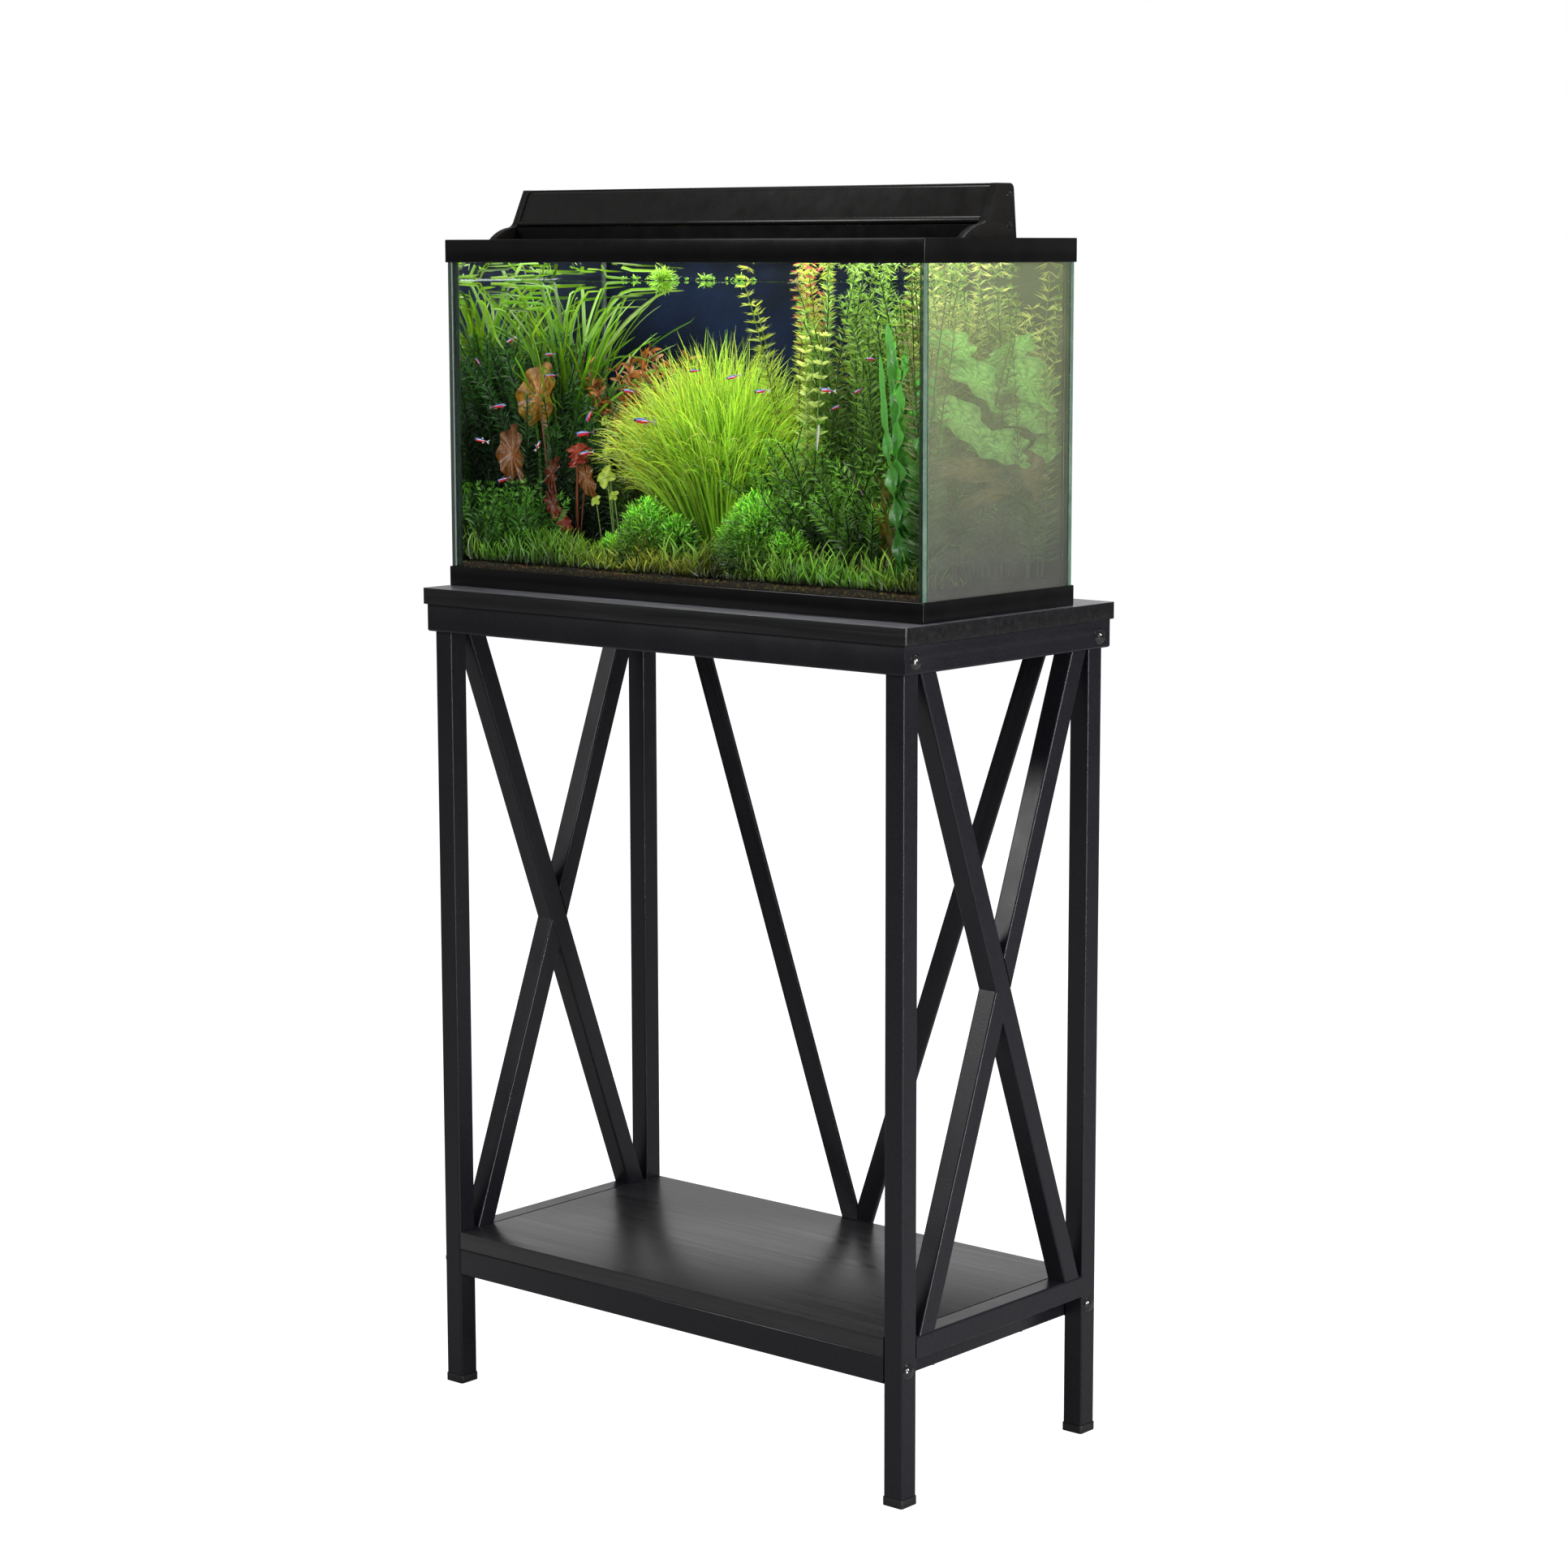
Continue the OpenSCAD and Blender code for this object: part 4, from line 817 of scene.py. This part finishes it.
def moss():
    """Moss mounds, and bits of moss that hang under the surface."""
    b = Build()
    # bits at the surface: place, size and number of leaves
    for x, r, n in ((-118, 10, 420), (-163, 3, 16), (-150, 4, 26), (-135, 3, 18), (-101, 4, 20),
            (-90, 2.5, 10), (-68, 6, 44), (-60, 3, 14), (-44, 3, 14), (-29, 5.5, 36), (-14, 3, 14),
            (-78, 2, 8), (-37, 2, 8)):
        v = unit(rng.standard_normal((n, 3)) * np.array([1.3, 0.8, 0.9]))
        v[:, 2] = -np.abs(v[:, 2])
        base = at(x, 112, 0) + v * r / 1000 * rng.uniform(0.0, 0.5, (n, 1))
        base[:, 2] += WATER_Z - SOIL_Z - 0.0008
        p = paths(base, unit(v + 0.3 * rng.standard_normal((n, 3))), r / 1000 * rng.uniform(0.4, 1.1, n),
            0.8 * rng.standard_normal((n, 3)), 5)
        ribbons(b, p, rng.uniform(0.0006, 0.0012, n), shade(n, 5, rgb(60, 124, 14), rgb(160, 214, 60), 0.35),
            turns(n), 0.5, 0.0, 2)
    # painted reflection of the moss bits in the water surface
    b.painted_surface_mirror(WATER_Z, 0.016)
    # mounds: place, radius and height
    for x, d, r, h in ((-64, 32, 26, 60), (-38, 42, 20, 46), (59, 34, 32, 70), (30, 42, 22, 50),
            (-106, 40, 20, 26), (92, 34, 22, 40)):
        n = int(2300 * (r / 22) ** 2)
        v = unit(rng.standard_normal((n, 3)))
        v[:, 2] = np.abs(v[:, 2])
        c = at(x, d, 0)
        base = c + v * np.array([r, r, h]) / 1000 * rng.uniform(0.72, 1.0, (n, 1))
        p = paths(base, unit(v + 0.5 * rng.standard_normal((n, 3))), rng.uniform(0.003, 0.0085, n),
            0.6 * rng.standard_normal((n, 3)), 4)
        # painted shade and light: leaves low on each mound painted dark, those near its top up to 1.86 times
        # brighter
        lit = 0.06 + 1.8 * np.clip((base[:, 2] - c[2]) / h * 1000, 0, 1)[:, None, None] ** 1.7
        ribbons(b, p, rng.uniform(0.0009, 0.0016, n), shade(n, 4, rgb(54, 142, 24), rgb(176, 242, 84),
            0.45) * lit, turns(n), 0.4, 0.0, 2)
    return b.make("moss_mounds", LEAF, "grass_green", ["plants_front"])


def carpet():
    """Carpet grass, thin under the moss and in the right corner and darker there as painted shadow, with
    taller tufts.
    """
    b = Build()
    n = 7000
    x, d = rng.uniform(-254, 254, n), 3 + 60 * rng.random(n) ** 1.2
    base = at(0, 0, 0) + np.stack([x, d, np.zeros(n)], -1) / 1000
    tall = 0.55 + 0.45 * np.sin(x / 21 + 1.3 * np.sin(x / 47)) * np.sin(d / 13 + x / 60)
    # shorter blades under the moss and in the right corner, with painted shadow there: colours up to 80%
    # darker
    sparse_and_shadowed = np.exp(-((x - 38) / 36) ** 2) + 0.7 * np.exp(-((x - 244) / 30) ** 2)
    length = (0.008 + 0.022 * np.clip(tall, 0, 1) ** 1.5) * rng.uniform(0.5, 1.6, n) * (1 - 0.5 * sparse_and_shadowed)
    p = paths(base, ups(n, 0.6), length, around(n) * 1.3, 6, 1.4)
    warm = np.clip(0.5 + 0.5 * np.sin(x / 55 + 2), 0, 1)[:, None, None]
    tip = rgb(196, 206, 70) * warm + rgb(130, 205, 60) * (1 - warm)
    tip = tip * np.where(rng.random((n, 1, 1)) < 0.12, np.array([1.3, 1.1, 1.2]), np.array([0.85, 0.85, 0.8]))
    t = np.linspace(0, 1, 6)[None, :, None]
    cols = (rgb(30, 36, 8) * (1 - t) + tip * t) * (1 + 0.45 * rng.standard_normal((n, 1, 1))) * (1
        - 0.8 * sparse_and_shadowed)[:, None, None]
    ribbons(b, p, rng.uniform(0.0010, 0.0019, n), np.clip(cols, 0.003, 1), turns(n), 0.4, 0.0, 2)
    n = 420
    middle = rng.choice([66, 96, 118, 150, 178, 206, 236, -20, 10, -236, -150], n)
    base = at(0, 0, 0) + np.stack([middle + rng.normal(0, 6, n), rng.uniform(6, 40, n), np.zeros(n)],
        -1) / 1000
    p = paths(base, ups(n, 0.5), rng.uniform(0.016, 0.038, n), around(n) * 1.2, 8, 1.6)
    ribbons(b, p, rng.uniform(0.0016, 0.003, n), shade(n, 8, rgb(26, 54, 12), rgb(166, 216, 80), 0.3),
        turns(n), 0.5, 0.15)
    return b.make("carpet_grass", LEAF, "grass_green")


def lotus_and_clover():
    """Lotus leaves, clover leaves and their stalks."""
    b = Build()
    # place, direction, length, width, colour and vein colour of each leaf
    lotus = [((-195, 36, 141), (0.15, 0, 1), 60, 34, (208, 146, 42), (84, 36, 12)),
        ((-220, 28, 91), (-0.1, 0, 1), 52, 24, (160, 96, 40), (66, 26, 12)),
        ((-153, 40, 92), (1, -0.2, 0.3), 34, 18, (206, 74, 52), (110, 22, 20)),
        ((-146, 44, 74), (0.35, 0, -1), 38, 14, (176, 108, 42), (84, 44, 18)),
        ((-173, 30, 50), (0.55, 0, -1), 30, 12, (132, 52, 28), (60, 18, 12)),
        ((-160, 28, 38), (0.8, 0, -0.9), 26, 13, (176, 60, 40), (80, 20, 14)),
        ((-148, 34, 96), (0.6, 0, 0.5), 20, 11, (224, 96, 70), (130, 40, 30)),
        ((-178, 34, 76), (0.3, 0, 1), 30, 11, (122, 58, 26), (60, 24, 12))]
    for (x, d, h), along, long, wide, col, vein in lotus:
        c = at(x, d, h)
        round_leaf(b, c, along, (0.35, -1, 0.2), long / 1000, wide / 1000, 9, rgb(*col), rgb(*vein), 0.0032,
            14, 56, 0.3)
        p = line_between(at(x * 0.6 - 70, 46, 0), c, 10)
        p = p + UP * (0.012 * np.sin(np.linspace(0, math.pi, 10)))[None, :, None]
        tubes(b, p, np.array([0.0008]), shade(1, 10, rgb(90, 40, 22), rgb(150, 70, 36), 0.05))
    # clover: place and size of each
    for x, d, h, r in ((-114, 36, 75, 9.5), (-121, 44, 97, 5), (-127, 50, 123, 5.5), (-106, 36, 60, 5),
            (-133, 42, 54, 5)):
        c = at(x, d, h)
        for k in range(4):
            a = k * math.pi / 2 + 0.5 + h
            out = np.array([math.cos(a), 0.35 * math.sin(a) - 0.2, 0.75 * math.sin(a)])
            round_leaf(b, c + unit(out) * r / 1000 * 0.55, out, (0.2, -1, 0.5), r / 1000 * 1.15,
                r / 1000 * 0.95, 4, rgb(216, 230, 84), rgb(150, 186, 50), 0.0003, 6, 20)
        foot = at(x + 4, d + 6, 0)
        p = line_between(foot, c, 8)
        tubes(b, p, np.array([0.0005]), shade(1, 8, rgb(70, 110, 40), rgb(160, 180, 90), 0.05))
    return b.make("lotus_and_clover", BROAD, "plant_green")


# ---------- substrate, water and fish
def substrate():
    b = Build()
    nx, ny = 220, 80
    xs = np.linspace(soil_lo.x + 0.0006, soil_hi.x - 0.0006, nx)
    ys = np.linspace(soil_lo.y + 0.0006, soil_hi.y - 0.0006, ny)
    X, Y = np.meshgrid(xs, ys)
    Z = soil_hi.z - 0.0022 + 0.0012 * np.sin(X * 60) * np.sin(Y * 75) + rng.normal(0, 0.0005, X.shape)
    top = np.stack([X, Y, Z], -1)
    col = np.clip(rgb(50, 38, 20) * (1 + 0.4 * rng.standard_normal((ny, nx, 1))), 0.004, 1)
    b.grids(top[None], col[None])
    for line in (top[0], top[-1], top[:, 0], top[:, -1]):
        k = len(line)
        wall = np.stack([line - UP * t * (line[:, 2:3] - soil_lo.z)
            for t in np.linspace(0, 1, 6)])
        b.grids(wall[None], np.clip(rgb(26, 21, 12) * (1 + 0.5 * rng.standard_normal((1, 6, k, 1))), 0.003,
            1))
    n = 4200
    c = np.stack([rng.uniform(soil_lo.x + 0.002, soil_hi.x - 0.002, n),
        soil_lo.y + 0.0012 + 0.07 * rng.random(n) ** 2.2, soil_hi.z - 0.0022 - rng.random(n) * 0.0015],
        -1)
    front = rng.random(n) < 0.45
    c[front, 1] = soil_lo.y + 0.0013
    c[front, 2] = soil_lo.z + 0.001 + rng.random(front.sum()) * (soil_hi.z - soil_lo.z - 0.003)
    ring = np.array([[math.cos(a), math.sin(a)] for a in np.linspace(0, 2 * math.pi, 7)])
    size = rng.uniform(0.0007, 0.0013, (n, 1, 1))
    lat = [(-1.0, 0.05), (-0.4, 0.9), (0.5, 0.8), (1.0, 0.05)]
    pts = np.stack([np.stack([ring[:, 0] * k, ring[:, 1] * k, np.full(7, z)], -1) for z, k in lat])
    pts = c[:, None, None, :] + pts[None] * size[..., None] * rng.uniform(0.75, 1.2, (n, 1, 1, 3))
    tone = np.where(rng.random((n, 1)) < 0.3, rgb(104, 110, 34), rgb(96, 62, 34)) * rng.uniform(0.08, 0.7,
        (n, 1))
    b.grids(pts, tone[:, None, None, :])
    return b.make("substrate", painted("substrate", 0.75, bump=0.5, spec=0.3), "soil", ["soil_bed"],
        clip=False)


def water():
    nx, ny = 150, 54
    lo = np.array([MID_X - HALF_X + 0.0004, FRONT_Y + 0.0004])
    hi = np.array([MID_X + HALF_X - 0.0004, BACK_Y - 0.0004])
    X, Y = np.meshgrid(np.linspace(lo[0], hi[0], nx), np.linspace(lo[1], hi[1], ny))
    Z = WATER_Z + 0.0003 * np.sin(X * 90 + 2 * np.sin(Y * 60)) * np.sin(Y * 110)
    edge = np.minimum(np.minimum(X - lo[0], hi[0] - X), np.minimum(Y - lo[1], hi[1] - Y))
    Z = Z + 0.0016 * np.exp(-edge / 0.0014)
    b = Build()
    top = np.stack([X, Y, Z], -1)
    b.grids(top[None], np.ones((1, 1, 1, 3)))
    return b.make("water_surface", water_material(), "glass", clip=False)


def pitched(angle):
    c, s = math.cos(math.radians(angle)), math.sin(math.radians(angle))
    return np.array([[c, 0, -s], [0, 1, 0], [s, 0, c]])


def fish():
    """Slim little fish, each a lofted body with fins: a blue-white stripe over a red belly."""
    b = Build()
    # place in the tank, length, and pitch in degrees of each fish
    places = [(-223, 14, 134, 15, 8), (-240, 10, 104, 13, -12), (-225, 22, 70, 13, 20),
        (-174, 30, 161, 13, 6), (-179, 34, 179, 9, 2), (-129, 24, 113, 19, 8), (-52, 16, 126, 18, -6),
        (-129, 30, 128, 14, 64), (-76, 24, 150, 13, -4), (-131, 28, 96, 13, 10), (-193, 32, 100, 10, 62),
        (2, 20, 169, 10, 8), (48, 16, 165, 12, 14), (77, 18, 154, 12, 6), (142, 24, 156, 13, -6),
        (148, 26, 142, 9, 20), (189, 22, 182, 10, 2), (169, 30, 156, 9, 30), (-218, 26, 191, 10, 30),
        (-247, 14, 172, 9, -50)]
    rings, sides = 18, 14
    t = np.linspace(0, 1, rings)
    height = 0.15 * np.sin(math.pi * np.clip(t * 0.93 + 0.07, 0, 1)) ** 0.75 * (1 - 0.45 * t) + 0.012
    a = np.linspace(0, 2 * math.pi, sides + 1)
    for x, d, h, size, pitch in places:
        s = size / 1000
        heading = -1 if rng.random() < 0.72 else 1
        swing = 0.04 * np.sin(t * 3.5 + rng.uniform(0, 3)) * t
        L = (0.5 - t * 0.82) * s
        body = np.stack([np.broadcast_to(L[:, None], (rings, sides + 1)),
            (np.cos(a) * height[:, None] * 0.55 + swing[:, None]) * s, np.sin(a) * height[:, None] * s],
            -1)
        up = np.sin(a)[None, :] * np.ones((rings, 1))
        tt = t[:, None] * np.ones_like(up)
        back, stripe, belly, red = rgb(24, 34, 40), rgb(54, 150, 236), rgb(96, 110, 122), rgb(196, 10, 16)
        under = np.where((tt > 0.2)[..., None], red, belly)
        col = np.where((up > 0.6)[..., None], back, np.where((up > 0.1)[..., None], stripe, under))
        mouth_or_eye = (tt < 0.06) | ((np.abs(tt - 0.11) < 0.035) & (np.abs(up) < 0.5))
        col = np.where(mouth_or_eye[..., None], rgb(12, 12, 14), col)
        parts = [(body, col)]

        def fin(x0, x1, z0, tips, tone):
            row0 = np.stack([np.linspace(x0, x1, 6), np.zeros(6), np.full(6, z0)], -1) * s
            row1 = np.array(tips) * s
            g = np.stack([row0 + (row1 - row0) * k for k in np.linspace(0, 1, 4)])
            return g, np.broadcast_to(tone, g.shape)

        tail = [(-0.5 - 0.08 * abs(k), 0.01 * k, 0.15 * k) for k in np.linspace(-1, 1, 6)]
        top = [(-0.04 - 0.02 * k, 0, 0.22 - 0.016 * k) for k in range(6)]
        low = [(-0.10 - 0.03 * k, 0, -0.19 + 0.014 * k) for k in range(6)]
        parts.append(fin(-0.30, -0.30, 0.0, tail, rgb(90, 76, 76)))
        parts.append(fin(0.02, -0.10, 0.11, top, rgb(60, 70, 66)))
        parts.append(fin(-0.05, -0.22, -0.09, low, rgb(130, 40, 40)))
        yaw = rng.uniform(-0.35, 0.35) + 0.5
        cy, sy = math.cos(yaw), math.sin(yaw)
        rot = np.array([[cy, -sy, 0], [sy, cy, 0], [0, 0, 1]]) @ pitched(pitch) @ np.diag([heading, 1, 1])
        for g, c in parts:
            b.grids((g @ rot.T + at(x, d, h))[None], np.array(c)[None])
    # a slim dark catfish and a pale one
    for x, d, h, size, pitch, tone in ((169, 24, 86, 34, -52, (46, 38, 22)),
            (130, 26, 117, 22, 84, (196, 196, 176))):
        s = size / 1000
        prof = 0.07 * np.sin(math.pi * np.clip(t * 0.95 + 0.05, 0, 1)) ** 0.6 * (1 - 0.6 * t) + 0.008
        body = np.stack([np.broadcast_to(((0.5 - t) * s)[:, None], (rings, sides + 1)),
            np.cos(a) * prof[:, None] * s * 0.8, np.sin(a) * prof[:, None] * s], -1)
        stripe = (np.abs(np.sin(a)) < 0.35)[None, :, None] * np.ones((rings, 1, 1))
        col = rgb(*tone) * (1 - 0.7 * stripe) + rgb(16, 14, 10) * 0.7 * stripe
        b.grids((body @ pitched(pitch).T + at(x, d, h))[None], col[None])
    return b.make("fish", painted("fish_scales", 0.25, 0.0, 3000, 0.15, 0.7, 0.4), "plant_green")


planted = [grow() for grow in (ribbon_leaves, needle_bush, shaded_growth, hairgrass, orange_stems,
    whorled_stems, feathery_stems, low_bush, wavy_leaves, moss, carpet, lotus_and_clover, substrate)]
water()
planted.append(fish())

# ---------- floor, light and camera
floor_mesh = bpy.data.meshes.new("floor")
floor_mesh.from_pydata([(-30, -30, 0), (30, -30, 0), (30, 30, 0), (-30, 30, 0)], [], [(0, 1, 2, 3)])
floor = placed("floor", floor_mesh)
s = Shader("floor")
paper = s.principled(Base_Color=s.mix(s.noise(3), (0.38, 0.38, 0.38), (0.41, 0.41, 0.41)), Roughness=0.9,
    Specular_IOR_Level=0.1)
seen = s.math("MULTIPLY", s.add("LightPath").outputs["Is Camera Ray"], 0.97)
glow = s.add("Emission", {"Color": (1, 1, 1, 1), "Strength": seen})
floor_mesh.materials.append(s.end(s.add("AddShader", {0: paper, 1: glow.outputs[0]}).outputs[0]))


def area(name, place, target, size, power, tint=(1, 1, 1), tall=None):
    light = bpy.data.lights.new(name, "AREA")
    light.shape = "RECTANGLE"
    light.size, light.size_y = size, tall or size
    light.energy = power
    light.color = tint
    o = placed(name, light)
    o.location = place
    o.rotation_mode = "QUATERNION"
    o.rotation_quaternion = (Vector(target) - Vector(place)).to_track_quat("-Z", "Y")
    return o


area("key", (-1.8, -2.8, 2.6), (0, 0, 0.5), 1.4, 50)
area("side", (3.2, 0.4, 1.8), (0, 0, 0.6), 1.0, 60)
area("top", (0.0, 0.6, 3.6), (0, 0, 0.4), 2.4, 50)
front = area("front", (0.9, -2.3, 1.0), (0, 0, 0.9), 0.9, 46, tall=1.4)
tank_contents = bpy.data.collections.new("tank_contents")
for piece in planted:
    tank_contents.objects.link(piece)
front.light_linking.receiver_collection = tank_contents
area("strip", (2.5, -0.7, 0.75), (0, 0, 0.6), 0.10, 36, tall=1.4)
back = area("back", (-2.0, 2.35, 1.05), (0, 0, 0.5), 3.0, 9, tall=1.5)
back.visible_camera = False
lamp_y = (FRONT_Y + BACK_Y) / 2 - 0.01
area("tank_lamp", (MID_X, lamp_y, rim_hi.z - 0.0125), (MID_X, lamp_y + 0.0001, 0), 0.49, 1.7,
    (1.0, 0.92, 0.98), 0.15)

world = bpy.data.worlds.new("studio")
bpy.context.scene.world = world
world.use_nodes = True
sky = world.node_tree
sky.nodes.clear()
mixed = sky.nodes.new("ShaderNodeMixShader")
sky.links.new(sky.nodes.new("ShaderNodeLightPath").outputs["Is Camera Ray"], mixed.inputs[0])
for socket, strength in ((1, 0.16), (2, 1.0)):  # what lights the object, and what the camera sees
    white = sky.nodes.new("ShaderNodeBackground")
    white.inputs["Color"].default_value = (1, 1, 1, 1)
    white.inputs["Strength"].default_value = strength
    sky.links.new(white.outputs[0], mixed.inputs[socket])
sky.links.new(mixed.outputs[0], sky.nodes.new("ShaderNodeOutputWorld").inputs[0])

AIM = Vector((0.0254, 0, 0.5550))
DISTANCE = 3.080
az, el, roll = (math.radians(a) for a in (40.634, 8.459, -0.119))
forward = Vector((-math.sin(az) * math.cos(el), math.cos(az) * math.cos(el), -math.sin(el)))
level = Vector((math.cos(az), math.sin(az), 0))
over = level.cross(forward)
right = level * math.cos(roll) + over * math.sin(roll)
upward = -level * math.sin(roll) + over * math.cos(roll)
cam = bpy.data.cameras.new("camera")
cam.sensor_width, cam.lens = 36, 82.706
cam.clip_start, cam.clip_end = 0.05, 100
camera = placed("camera", cam)
camera.rotation_mode = "QUATERNION"
camera.rotation_quaternion = Matrix((right, upward, -forward)).transposed().to_quaternion()
camera.location = AIM - forward * DISTANCE
bpy.context.scene.camera = camera
bpy.context.scene.view_settings.view_transform = "Standard"
